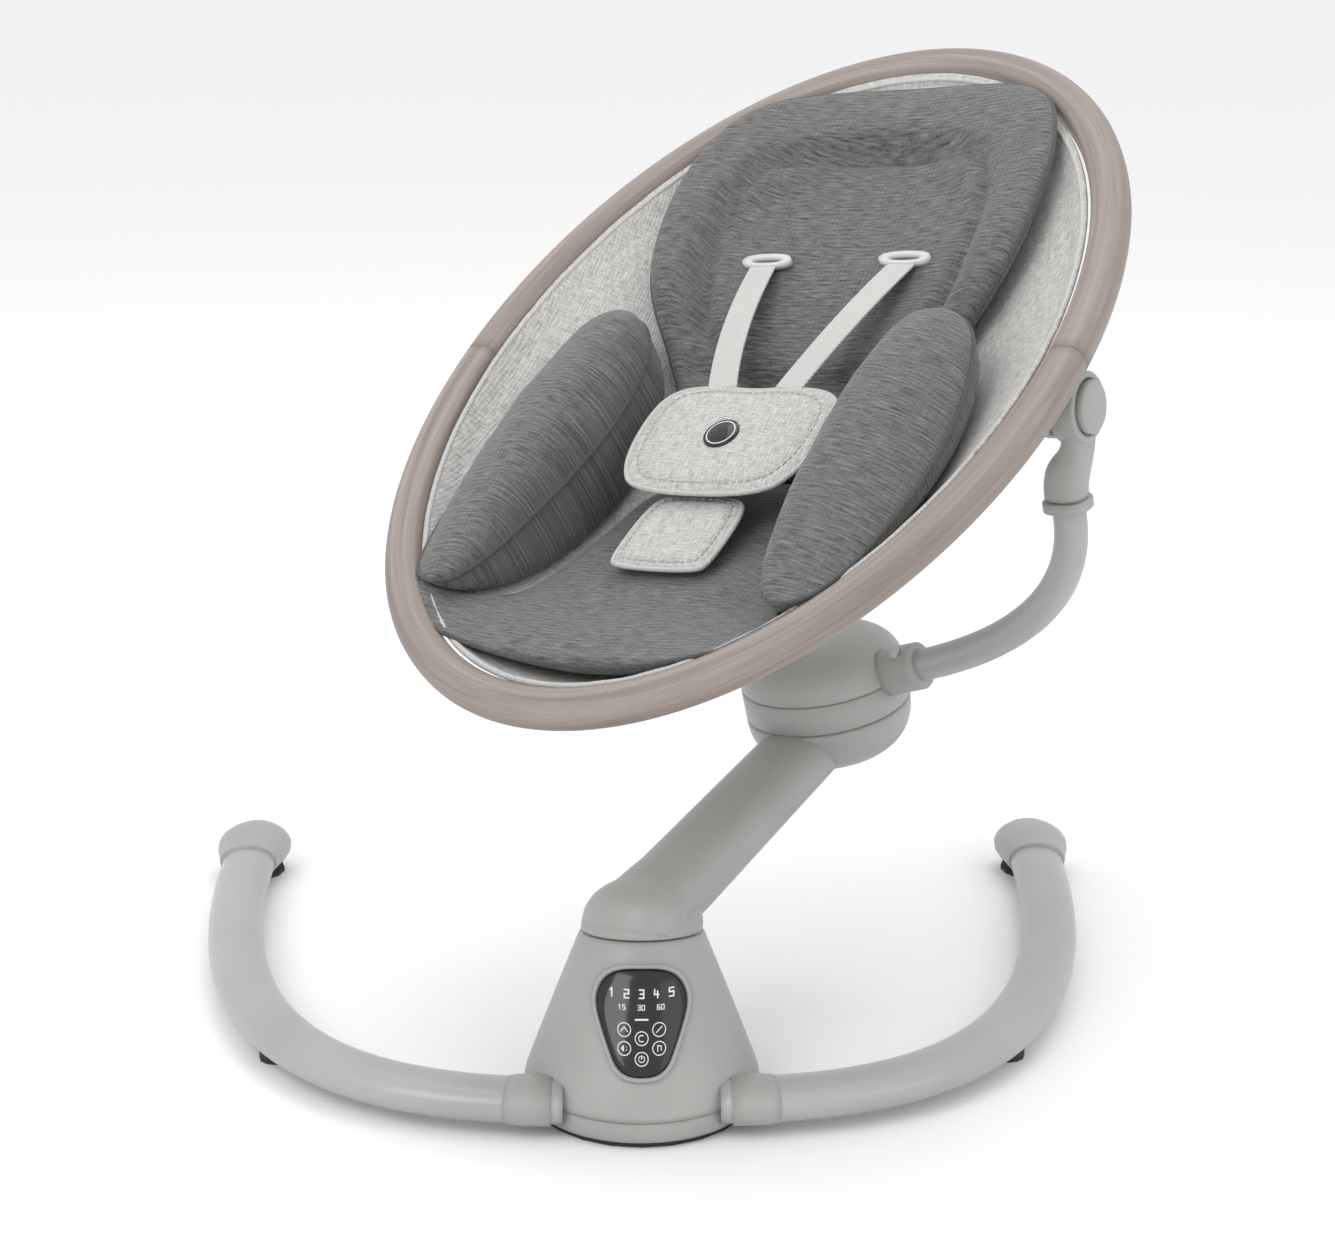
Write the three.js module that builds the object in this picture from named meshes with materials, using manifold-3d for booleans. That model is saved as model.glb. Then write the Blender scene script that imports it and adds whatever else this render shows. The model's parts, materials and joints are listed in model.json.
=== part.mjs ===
// Baby swing: a C-shaped floor base with a drive hub in front, a stem that sweeps from side to side
// on the hub, a fork with two arms, and an oval padded seat that reclines between the arms.
// Millimetres, +Z up, origin on the floor under the middle of the hub, front towards -Y.

import * as THREE from 'three';
import { mergeVertices } from 'three/addons/utils/BufferGeometryUtils.js';
import Module from 'manifold-3d';

const wasm = await Module();
wasm.setup();

// ---------------------------------------------------------------- driving dimensions

const GAP = 0.4;                 // clearance between touching pieces
const RUNNING_CLEARANCE = 0.6;   // clearance round a piece that turns or slides

// swing axis: it leans back, through the middle of the hub's top
const AXIS_SETBACK = 26.5;
const AXIS_HEIGHT = 99;
const AXIS_TILT = 10;            // degrees
const SWEEP_FROM_MIDDLE = 36.5;  // degrees, the model is drawn at the right-hand end of the sweep

// hub
const HUB_BASE_RADIUS = 71;
const HUB_TOP_RADIUS = 37.5;
const HUB_PARTING_HEIGHT = 18;
const HUB_WALL = 3;
const HUB_FLOOR_HEIGHT = 3;
const SHAFT_RADIUS = 10;
const GEAR_SEAT_RADIUS = 8;      // the shaft's lower end, where the gear sits
const FLANGE_RADIUS = 16;
const FLANGE_THICKNESS = 4;
const BEARING_OUTER_RADIUS = 16;
const BEARING_LENGTH = 9;

// control panel on the front of the hub
const PANEL_WIDTH = 56;
const PANEL_HEIGHT = 60;
const PANEL_MIDDLE_HEIGHT = 67;
const PANEL_LEAN = 26;           // degrees back from upright
const PANEL_THICKNESS = 2.4;
const BEZEL_WIDTH = 2.2;
const BOARD_THICKNESS = 1.6;
const BOARD_WIDTH = 26;
const BOARD_HEIGHT = 40;
const INLET_RADIUS = 5;
const INLET_HEIGHT = 34;
const INLET_SIDE = 30;

// drive gears
const GEAR_MODULE = 2;
const GEAR_TEETH = 24;
const PINION_TEETH = 8;
const GEAR_THICKNESS = 6;
const MOTOR_RADIUS = 13;
const MOTOR_LENGTH = 27;
const GEAR_DROP = 21;             // from the underside of the bearing to the top of the gears
const MOTOR_SHAFT_RADIUS = 2.5;
const GEAR_BACKLASH = 0.45;
const MOTOR_BEARING_ANGLE = 178; // degrees round the swing axis, from the right-hand side

// floor legs
const LEG_HALF_SPAN = 285;
const LEG_REACH = 378;
const LEG_HEIGHT = 19;
const LEG_TUBE_WIDTH = 37;
const LEG_TUBE_DEPTH = 24;
const LEG_TUBE_WALL = 1.8;
const LEG_SETBACK = -41;         // the front run of the tube, measured at the hub
const LEG_CORNER_PULL = 212;     // how far the front run reaches before it turns back
const LEG_SIDE_PULL = 88;        // where the side run has straightened
const CAP_RADIUS = 27;
const CAP_LENGTH = 48;
const CAP_SOCKET_DEPTH = 20;
const LEG_INNER_END = 46;        // where the tubes end inside the hub
const FOOT_THICKNESS = 3;
const BEND_FOOT_RADIUS = 11;

// stem and upper housing, in the plane of the middle of the sweep
const HOUSING_SETBACK = 249.5;
const HOUSING_HEIGHT = 177;
const HOUSING_RADIUS = 54.5;
const HOUSING_BOWL_DEPTH = 36;
const HOUSING_BAND_HEIGHT = 20;
const HOUSING_DOME_HEIGHT = 28;
const HOUSING_WALL = 3;
const STEM_WIDTH = 60;
const STEM_END_WIDTH = 52;
const STEM_DEPTH = 45;
const STEM_END_DEPTH = 38;
const STEM_RISE = 14.5;          // degrees above level along its straight run
const STEM_WALL = 3;
const COLLAR_RADIUS = 36.7;
const COLLAR_HEIGHT = 5;
const STEM_FLOOR_THICKNESS = 4;
const FOOT_LEAN = 0.75;          // how far the stem's foot goes back for its height

// fork
const FORK_LEAN = 8.2;           // degrees forward
const PIVOT_HEIGHT = 209;        // above the housing's lower parting line, along the fork
const PIVOT_HALF_SPAN = 222;     // to the outer face of the arm hub
const FORK_TUBE_WIDTH = 21;
const FORK_TUBE_DEPTH = 18;
const FORK_TUBE_WALL = 1.6;
const SOCKET_REACH = 77;
const SOCKET_HEIGHT = 31;
const SOCKET_RISE = 15;          // degrees
const SOCKET_MOUTH_LEVEL = 32.5; // above the housing's lower parting line
const SOCKET_DEPTH = 30;
const TUBE_TOP_HEIGHT = 158;
const TUBE_TOP_SPAN = 199;
const COLLAR_RING_HEIGHT = 148;
const ARM_HUB_RADIUS = 21;
const ARM_HUB_WIDTH = 17;
const ARM_SLEEVE_WIDTH = 26;
const ARM_SLEEVE_DEPTH = 23;
const COLLAR_RING_WIDTH = 29;
const COLLAR_RING_DEPTH = 26;
const COLLAR_RING_THICKNESS = 7;
const SNAP_BUTTON_RADIUS = 4;
const SNAP_BUTTON_PROUD = 1.2;
const SNAP_BUTTON_INSET = 10;    // in from the socket's mouth
const SNAP_BUTTON_TAIL = 4.5;    // how far the button reaches into the tube
const SNAP_FRONT_TURN = 30;      // degrees from the top of the socket towards the front
const RECLINE_BUTTON_RADIUS = 16;
const RECLINE_BUTTON_PROUD = 4;
const RECLINE_TRAVEL = 3;
const PIVOT_PIN_RADIUS = 5;
const SPRING_RADIUS = 8;
const SPRING_WIRE = 1.1;
const SPRING_PITCH = 1.9;
const SPRING_TURNS = 3;

// seat
const SEAT_RECLINE = 32;         // degrees, the ring's long axis above level
const SEAT_HALF_WIDTH = 231;
const SEAT_HALF_LENGTH = 305;
const RING_WIDTH = 24;
const RING_HEIGHT = 21;
const PIVOT_BELOW_RING = 35;
const PIVOT_BEHIND_MIDDLE = 2;
const BRACKET_THICKNESS = 8;
const BRACKET_LENGTH = 104;
const LINER_DEPTH = 100;
const LINER_THICKNESS = 3.5;
const LINER_LOW_POINT = -70;     // where the liner hangs lowest, from the middle of the ring
const LINER_FULLNESS = 1.5;
const LINER_EDGE_CLEARANCE = 1.5;
const CUSHION_LIFT = 5;          // underside of the cushions above the liner
const BACK_TOP = 253;
const BACK_HALF_WIDTH = 141;
const BACK_BOTTOM = -34;
const WING_HALF_WIDTH = 42;
const WING_SPAN = 119;           // from the middle of the seat to the middle of a side cushion
const WING_CROWN = 112;
const WING_BACK = 30;
const WING_FRONT = -208;
const WING_TOP = 28;
const SEAT_FRONT = -252;
const SEAT_LOBE_HALF_WIDTH = 146;
const SEAT_TONGUE_HALF_WIDTH = 74;
const WEBBING_WIDTH = 20;
const WEBBING_THICKNESS = 2;
const STRAP_SPREAD = 53;
const STRAP_GUIDE_POSITION = 111;
const STRAP_GUIDE_LEVEL = -18;
const STRAP_GUIDE_THICKNESS = 4;
const BELLY_PAD_POSITION = -57;
const BELLY_PAD_HALF_WIDTH = 68;
const BELLY_PAD_HALF_LENGTH = 42;
const BELLY_PAD_LEVEL = -16;
const PAD_THICKNESS = 9;
const BADGE_RADIUS = 12;
const CROTCH_PAD_WIDTH = 68;
const CROTCH_PAD_END = -158;
const CROTCH_PAD_SLOPE = 5;      // degrees
const BUCKLE_WIDTH = 42;
const BUCKLE_LENGTH = 30;
const BUCKLE_THICKNESS = 12;
const BUCKLE_SETBACK = 8;        // buckle forward of the middle of the belly pad
const BUCKLE_BUTTON_RADIUS = 8;

// ---------------------------------------------------------------- finishes

const plastic = { color: 0xa5a8a2, roughness: 0.5, metalness: 0 };
const tube = { color: 0xafb2b6, roughness: 0.4, metalness: 0.3 };
const wood = { color: 0x9b8a82, roughness: 0.55, metalness: 0 };
const darkFabric = { color: 0x4c4c4d, roughness: 0.95, metalness: 0 };
const lightFabric = { color: 0xb9b7b4, roughness: 0.95, metalness: 0 };
const webbing = { color: 0xd2d4d2, roughness: 0.8, metalness: 0 };
const gloss = { color: 0x0c0c0e, roughness: 0.1, metalness: 0 };
const rubber = { color: 0x2b2b2c, roughness: 0.9, metalness: 0 };
const steel = { color: 0x8c8f92, roughness: 0.35, metalness: 1 };
const circuit = { color: 0x1f5a3a, roughness: 0.6, metalness: 0 };

// ---------------------------------------------------------------- geometry helpers

const radians = THREE.MathUtils.degToRad;
const LARGE_ROUND = 22;          // sides of a large turned piece
const SMALL_ROUND = 12;          // sides of a small one
const V3 = (x, y, z) => new THREE.Vector3(x, y, z);

// a closed geometry as a solid, whichever way its faces were wound
function solid(geometry) {
  const bare = geometry.clone();
  bare.deleteAttribute('normal');
  bare.deleteAttribute('uv');
  const merged = mergeVertices(bare, 1e-4);
  const position = merged.attributes.position;
  const corner = [V3(0, 0, 0), V3(0, 0, 0), V3(0, 0, 0)];
  const kept = [];
  let volume = 0;
  for (let i = 0; i < merged.index.count; i += 3) {
    const face = [0, 1, 2].map((k) => merged.index.getX(i + k));
    if (face[0] === face[1] || face[1] === face[2] || face[0] === face[2]) continue;
    face.forEach((vertex, k) => corner[k].fromBufferAttribute(position, vertex));
    volume += corner[0].dot(corner[1].clone().cross(corner[2]));
    kept.push(face);
  }
  const triVerts = new Uint32Array(kept.flatMap((face) => (volume < 0 ? face.reverse() : face)));
  const vertProperties = new Float32Array(position.array);
  return new wasm.Manifold(new wasm.Mesh({ numProp: 3, vertProperties, triVerts }));
}

function geometryOf(manifold) {
  const mesh = manifold.getMesh();
  const geometry = new THREE.BufferGeometry();
  geometry.setAttribute('position', new THREE.BufferAttribute(mesh.vertProperties, 3));
  geometry.setIndex(new THREE.BufferAttribute(mesh.triVerts, 1));
  geometry.computeVertexNormals();
  return geometry;
}

function addPiece(group, name, shape, finish) {
  const geometry = geometryOf(shape.isBufferGeometry ? solid(shape) : shape);
  const mesh = new THREE.Mesh(geometry, new THREE.MeshStandardMaterial(finish));
  mesh.name = name;
  group.add(mesh);
  return mesh;
}

// a turned shape about Z from [radius, height] pairs that start and end on the axis
function turned(profile, sides = LARGE_ROUND) {
  const points = profile.map(([radius, height]) => new THREE.Vector2(radius, height));
  return new THREE.LatheGeometry(points, sides).rotateX(Math.PI / 2);
}

function ringSolid(innerRadius, outerRadius, low, high, sides = SMALL_ROUND) {
  const foot = [innerRadius, low];
  return turned([foot, [outerRadius, low], [outerRadius, high], [innerRadius, high], foot], sides);
}

function disc(radius, low, high, sides = LARGE_ROUND) {
  const cylinder = new THREE.CylinderGeometry(radius, radius, high - low, sides);
  return cylinder.rotateX(Math.PI / 2).translate(0, 0, (low + high) / 2);
}

function box(width, depth, height) {
  return new THREE.BoxGeometry(width, depth, height);
}

function oval(halfX, halfY) {
  return new THREE.Shape().absellipse(0, 0, halfX, halfY, 0, 2 * Math.PI, false, 0);
}

function ovalTube(halfX, halfY, wall) {
  const shape = oval(halfX, halfY);
  shape.holes.push(new THREE.Path().absellipse(0, 0, halfX - wall, halfY - wall, 0, 2 * Math.PI, true, 0));
  return shape;
}

function roundedRectangle(width, height, radius) {
  const x = width / 2;
  const y = height / 2;
  const shape = new THREE.Shape();
  shape.moveTo(-x + radius, -y);
  shape.lineTo(x - radius, -y);
  shape.absarc(x - radius, -y + radius, radius, -Math.PI / 2, 0, false);
  shape.lineTo(x, y - radius);
  shape.absarc(x - radius, y - radius, radius, 0, Math.PI / 2, false);
  shape.lineTo(-x + radius, y);
  shape.absarc(-x + radius, y - radius, radius, Math.PI / 2, Math.PI, false);
  shape.lineTo(-x, -y + radius);
  shape.absarc(-x + radius, -y + radius, radius, Math.PI, 1.5 * Math.PI, false);
  return shape;
}

function sweep(shape, path, steps, curveSegments = 6) {
  return new THREE.ExtrudeGeometry(shape, { steps, curveSegments, extrudePath: path, bevelEnabled: false });
}

function slab(shape, thickness, curveSegments = 6) {
  return new THREE.ExtrudeGeometry(shape, { depth: thickness, curveSegments, bevelEnabled: false });
}

// every vertex of a geometry moved by a function of its place
function shaped(geometry, move) {
  const position = geometry.attributes.position;
  const point = V3(0, 0, 0);
  for (let i = 0; i < position.count; i += 1) {
    point.fromBufferAttribute(position, i);
    move(point);
    position.setXYZ(i, point.x, point.y, point.z);
  }
  return geometry;
}

function smoothStep(from, to, value) {
  return THREE.MathUtils.smoothstep(value, from, to);
}

function unite(...solids) {
  return solids.reduce((whole, next) => whole.add(next));
}

// ---------------------------------------------------------------- frames

const hubTopFrame = new THREE.Matrix4()
  .makeTranslation(0, AXIS_SETBACK, AXIS_HEIGHT)
  .multiply(new THREE.Matrix4().makeRotationX(-radians(AXIS_TILT)));

const swingAxis = V3(0, Math.sin(radians(AXIS_TILT)), Math.cos(radians(AXIS_TILT)));
const swingPivot = V3(0, AXIS_SETBACK, AXIS_HEIGHT);

const babySwing = new THREE.Group();
const base = new THREE.Group();
babySwing.add(base);

// everything above the hub is drawn in the middle of the sweep and turned as one to its right-hand end
const sweepGroup = new THREE.Group();
sweepGroup.quaternion.setFromAxisAngle(swingAxis, -radians(SWEEP_FROM_MIDDLE));
sweepGroup.position.copy(swingPivot).sub(swingPivot.clone().applyQuaternion(sweepGroup.quaternion));
babySwing.add(sweepGroup);

const fork = new THREE.Group();
fork.position.set(0, HOUSING_SETBACK, HOUSING_HEIGHT);
fork.rotation.x = radians(FORK_LEAN);
sweepGroup.add(fork);

const pivotPoint = V3(0, 0, PIVOT_HEIGHT).applyEuler(fork.rotation).add(fork.position);
const seat = new THREE.Group();
seat.rotation.x = radians(SEAT_RECLINE);
const ringToPivot = V3(0, -PIVOT_BEHIND_MIDDLE, -PIVOT_BELOW_RING).applyEuler(seat.rotation);
seat.position.copy(pivotPoint).sub(ringToPivot);
sweepGroup.add(seat);

// ---------------------------------------------------------------- hub

// the hub leans back, so each level of its turned profile is set back a little further
function hubSetback(height) {
  const share = Math.max(0, (height - HUB_PARTING_HEIGHT) / (AXIS_HEIGHT - HUB_PARTING_HEIGHT));
  return AXIS_SETBACK * share ** 1.25;
}

function hubBell(inset, topDrop) {
  const slope = HUB_BASE_RADIUS - HUB_TOP_RADIUS;
  const rise = AXIS_HEIGHT - HUB_PARTING_HEIGHT;
  const profile = [[0, HUB_PARTING_HEIGHT - inset], [HUB_BASE_RADIUS - inset, HUB_PARTING_HEIGHT - inset]];
  for (const share of [0.12, 0.3, 0.5, 0.7, 0.88, 1.12]) {
    profile.push([HUB_BASE_RADIUS - inset - slope * share ** 1.06, HUB_PARTING_HEIGHT + rise * share]);
  }
  profile.push([0, HUB_PARTING_HEIGHT + rise * 1.12]);
  const bell = shaped(turned(profile, 26), (point) => {
    point.y += hubSetback(point.z);
  });
  const above = disc(3 * HUB_BASE_RADIUS, -topDrop, HUB_BASE_RADIUS, 8).applyMatrix4(hubTopFrame);
  return solid(bell).subtract(solid(above));
}

function onSwingAxis(geometry) {
  return solid(geometry.applyMatrix4(hubTopFrame));
}

const LEG_STEPS = 12;

const legPath = (side) => new THREE.CubicBezierCurve3(
  V3(side * LEG_INNER_END, LEG_SETBACK, LEG_HEIGHT),
  V3(side * LEG_CORNER_PULL, LEG_SETBACK, LEG_HEIGHT),
  V3(side * LEG_HALF_SPAN, LEG_SIDE_PULL, LEG_HEIGHT),
  V3(side * LEG_HALF_SPAN, LEG_REACH, LEG_HEIGHT),
);

function legHole(side) {
  const halfDepth = LEG_TUBE_DEPTH / 2 + GAP;
  const halfWidth = LEG_TUBE_WIDTH / 2 + GAP;
  return solid(sweep(oval(halfDepth, halfWidth), legPath(side), LEG_STEPS));
}

// outline of the control panel: broad top, drawn-in waist and round foot
function panelOutline(grow) {
  const top = PANEL_HEIGHT / 2 + grow;
  const half = PANEL_WIDTH / 2 + grow;
  const waist = half * 0.72;
  const shape = new THREE.Shape();
  shape.moveTo(-half + 9, top);
  shape.bezierCurveTo(-half + 2, top, -half - 1, top - 8, -half + 1, top - 20);
  shape.bezierCurveTo(-half + 3, top - 34, -waist - 2, -top * 0.1, -waist, -top * 0.45);
  shape.bezierCurveTo(-waist + 1, -top * 0.86, -12, -top, 0, -top);
  shape.bezierCurveTo(12, -top, waist - 1, -top * 0.86, waist, -top * 0.45);
  shape.bezierCurveTo(waist + 2, -top * 0.1, half - 3, top - 34, half - 1, top - 20);
  shape.bezierCurveTo(half + 1, top - 8, half - 2, top, half - 9, top);
  shape.closePath();
  return shape;
}

// depth 0 is the face of the panel, and depths are measured into the hub
const panelShare = (PANEL_MIDDLE_HEIGHT - HUB_PARTING_HEIGHT) / (AXIS_HEIGHT - HUB_PARTING_HEIGHT);
const panelFace = hubSetback(PANEL_MIDDLE_HEIGHT) - HUB_BASE_RADIUS + (HUB_BASE_RADIUS - HUB_TOP_RADIUS) * panelShare;
const panelFrame = new THREE.Matrix4()
  .makeTranslation(0, panelFace, PANEL_MIDDLE_HEIGHT)
  .multiply(new THREE.Matrix4().makeRotationX(Math.PI / 2 - radians(PANEL_LEAN)));

function panelSlab(shape, fromDepth, toDepth) {
  return slab(shape, toDepth - fromDepth, 4).translate(0, 0, -toDepth).applyMatrix4(panelFrame);
}

const inletFrame = new THREE.Matrix4()
  .makeTranslation(INLET_SIDE, 0, INLET_HEIGHT)
  .multiply(new THREE.Matrix4().makeRotationX(-Math.PI / 2));

function hubPieces() {
  const seatPocket = onSwingAxis(disc(BEARING_OUTER_RADIUS + GAP, -BEARING_LENGTH - GAP, 5));
  const panelPocket = solid(panelSlab(panelOutline(BEZEL_WIDTH + GAP), -16, PANEL_THICKNESS + GAP));
  const boardWindow = solid(panelSlab(panelOutline(-5), -1, 24));
  const inletHole = solid(disc(INLET_RADIUS + GAP, 10, 2 * HUB_BASE_RADIUS, 16).applyMatrix4(inletFrame));
  const bossBack = solid(panelSlab(panelOutline(BEZEL_WIDTH + 3), PANEL_THICKNESS + GAP, PANEL_THICKNESS + GAP + 2.2));
  const shell = hubBell(0, 0).subtract(hubBell(HUB_WALL, HUB_WALL));
  const boss = onSwingAxis(disc(BEARING_OUTER_RADIUS + 4, -BEARING_LENGTH - 3, -1));
  const cover = unite(shell, boss, bossBack.intersect(hubBell(0.5, 1)))
    .subtract(seatPocket)
    .subtract(onSwingAxis(disc(SHAFT_RADIUS + 2, -30, 5)))
    .subtract(panelPocket)
    .subtract(boardWindow)
    .subtract(inletHole)
    .subtract(legHole(1))
    .subtract(legHole(-1));
  addPiece(base, 'hub_cover', cover, plastic);

  const wallTop = HUB_PARTING_HEIGHT - GAP;
  const outer = HUB_BASE_RADIUS - 1.5;
  const trayProfile = [
    [0, HUB_FLOOR_HEIGHT], [outer - 3, HUB_FLOOR_HEIGHT], [outer - 1, HUB_FLOOR_HEIGHT + 2.5], [outer, wallTop],
    [outer - HUB_WALL, wallTop], [outer - HUB_WALL, HUB_FLOOR_HEIGHT + HUB_WALL], [0, HUB_FLOOR_HEIGHT + HUB_WALL],
  ];
  const tray = solid(turned(trayProfile, 26)).subtract(legHole(1)).subtract(legHole(-1));
  addPiece(base, 'hub_floor', tray, plastic);
  addPiece(base, 'hub_foot_pad', disc(outer - 5, 0, HUB_FLOOR_HEIGHT - GAP), rubber);

  const race = ringSolid(SHAFT_RADIUS + RUNNING_CLEARANCE, BEARING_OUTER_RADIUS, -BEARING_LENGTH, -GAP);
  addPiece(base, 'bearing', race.applyMatrix4(hubTopFrame), steel);

  const bezelShape = panelOutline(BEZEL_WIDTH);
  const bezel = solid(panelSlab(bezelShape, -0.6, PANEL_THICKNESS))
    .subtract(solid(panelSlab(panelOutline(GAP), -5, PANEL_THICKNESS + 5)));
  addPiece(base, 'panel_bezel', bezel, tube);
  addPiece(base, 'control_panel', panelSlab(panelOutline(0), 0, PANEL_THICKNESS), gloss);
  const boardTop = PANEL_THICKNESS + GAP + 3.2;
  addPiece(base, 'circuit_board', panelSlab(roundedRectangle(BOARD_WIDTH, BOARD_HEIGHT, 3), boardTop, boardTop + BOARD_THICKNESS), circuit);

  const inletProfile = [
    [0, 42], [3, 42], [3, 38], [INLET_RADIUS, 38], [INLET_RADIUS, 56], [2.4, 56], [2.4, 47], [0, 47],
  ];
  addPiece(base, 'power_inlet', turned(inletProfile, 12).applyMatrix4(inletFrame), gloss);

  const speakerProfile = [[0, 9], [15, 9], [15, 13], [8, 13], [8, 18], [0, 18]];
  addPiece(base, 'speaker', turned(speakerProfile, SMALL_ROUND).translate(0, 40, 0), rubber);
}

// ---------------------------------------------------------------- drive

const pitchRadius = (teeth) => teeth * GEAR_MODULE / 2;

// straight-flanked teeth, each a little thinner than half its pitch
function gearShape(teeth, hole, turn) {
  const pitch = pitchRadius(teeth);
  const tip = pitch + 0.75 * GEAR_MODULE;
  const root = pitch - 1.05 * GEAR_MODULE;
  const shape = new THREE.Shape();
  const half = (Math.PI * GEAR_MODULE / 2 - GEAR_BACKLASH) / 2;
  for (let i = 0; i < teeth; i += 1) {
    const middle = turn + i * 2 * Math.PI / teeth;
    const corners = [[root, -half * 1.45], [tip, -half * 0.5], [tip, half * 0.5], [root, half * 1.45]];
    for (const [radius, across] of corners) {
      const angle = middle + across / (radius < pitch ? root : tip);
      const draw = i === 0 && across === corners[0][1] ? 'moveTo' : 'lineTo';
      shape[draw](radius * Math.cos(angle), radius * Math.sin(angle));
    }
  }
  shape.closePath();
  if (hole > 0) shape.holes.push(new THREE.Path().absarc(0, 0, hole, 0, 2 * Math.PI, true));
  return shape;
}

const gearDistance = pitchRadius(GEAR_TEETH) + pitchRadius(PINION_TEETH);
const gearTop = -BEARING_LENGTH - GEAR_DROP;
const motorAngle = radians(MOTOR_BEARING_ANGLE);
const motorX = gearDistance * Math.cos(motorAngle);
const motorY = gearDistance * Math.sin(motorAngle);

function drivePieces() {
  const motorTop = gearTop - GEAR_THICKNESS - 2;
  const motorProfile = [
    [0, motorTop - MOTOR_LENGTH], [MOTOR_RADIUS, motorTop - MOTOR_LENGTH], [MOTOR_RADIUS, motorTop],
    [MOTOR_SHAFT_RADIUS, motorTop], [MOTOR_SHAFT_RADIUS, gearTop - 1], [0, gearTop - 1],
  ];
  const motor = turned(motorProfile, SMALL_ROUND).translate(motorX, motorY, 0);
  addPiece(base, 'drive_motor', motor.applyMatrix4(hubTopFrame), steel);
  // a tooth space of the pinion faces the gear
  const pinionTurn = motorAngle + Math.PI + Math.PI / PINION_TEETH;
  const pinionShape = gearShape(PINION_TEETH, MOTOR_SHAFT_RADIUS + RUNNING_CLEARANCE / 2, pinionTurn);
  const pinion = slab(pinionShape, GEAR_THICKNESS, 6);
  addPiece(base, 'drive_pinion', pinion.translate(motorX, motorY, gearTop - GEAR_THICKNESS).applyMatrix4(hubTopFrame), steel);
}

// ---------------------------------------------------------------- floor legs

function legPieces(side, prefix) {
  const halfDepth = LEG_TUBE_DEPTH / 2;
  const halfWidth = LEG_TUBE_WIDTH / 2;
  const path = legPath(side);
  addPiece(base, `${prefix}_leg`, sweep(ovalTube(halfDepth, halfWidth, LEG_TUBE_WALL), path, LEG_STEPS), tube);

  const capLow = FOOT_THICKNESS + GAP;
  const ball = new THREE.SphereGeometry(1, 20, 10).rotateX(Math.PI / 2);
  const capShape = shaped(ball, (point) => {
    point.x *= CAP_RADIUS;
    point.y *= CAP_LENGTH / 2;
    point.z = Math.max(capLow, LEG_HEIGHT + 2 + point.z * (LEG_TUBE_DEPTH * 0.86));
  });
  const capMiddle = LEG_REACH - CAP_SOCKET_DEPTH + CAP_LENGTH / 2;
  const cap = solid(capShape.translate(side * LEG_HALF_SPAN, capMiddle, 0));
  const socketStart = V3(side * LEG_HALF_SPAN, LEG_REACH - 60, LEG_HEIGHT);
  const straight = new THREE.LineCurve3(socketStart, V3(side * LEG_HALF_SPAN, LEG_REACH + GAP, LEG_HEIGHT));
  const socket = solid(sweep(oval(halfDepth + GAP, halfWidth + GAP), straight, 1));
  const bend = solid(sweep(oval(halfDepth + GAP, halfWidth + GAP), path, LEG_STEPS));
  addPiece(base, `${prefix}_leg_cap`, cap.subtract(socket).subtract(bend), plastic);
  const capFoot = disc(CAP_RADIUS - 6, 0, FOOT_THICKNESS, SMALL_ROUND).translate(side * LEG_HALF_SPAN, capMiddle, 0);
  addPiece(base, `${prefix}_cap_foot`, capFoot, rubber);

  const bendPoint = path.getPoint(0.5);
  const footTop = LEG_HEIGHT - LEG_TUBE_DEPTH / 2 - GAP;
  const bendFoot = disc(BEND_FOOT_RADIUS, 0, footTop, SMALL_ROUND).translate(bendPoint.x, bendPoint.y, 0);
  addPiece(base, `${prefix}_bend_foot`, bendFoot, rubber);
}

// ---------------------------------------------------------------- stem and housing

const housingBottom = HOUSING_HEIGHT - HOUSING_BOWL_DEPTH;

// centre line of the stem: up out of the collar, then a straight run into the side of the bowl
function stemPath() {
  const rise = radians(STEM_RISE);
  const endY = HOUSING_SETBACK - HOUSING_RADIUS * 0.45;
  const endZ = HOUSING_HEIGHT - HOUSING_BOWL_DEPTH * 0.55;
  const bendY = AXIS_SETBACK + COLLAR_RADIUS;
  const bendZ = endZ - (endY - bendY) * Math.tan(rise);
  const startUp = 2;
  const path = new THREE.CurvePath();
  const start = swingPivot.clone().addScaledVector(swingAxis, startUp);
  const lift = swingPivot.clone().addScaledVector(swingAxis, startUp + 8);
  const bend = V3(0, bendY, bendZ);
  const end = V3(0, endY, endZ);
  path.add(new THREE.CubicBezierCurve3(start, lift, bend.clone().lerp(lift, 0.45), bend));
  path.add(new THREE.LineCurve3(bend, end));
  return path;
}

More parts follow.
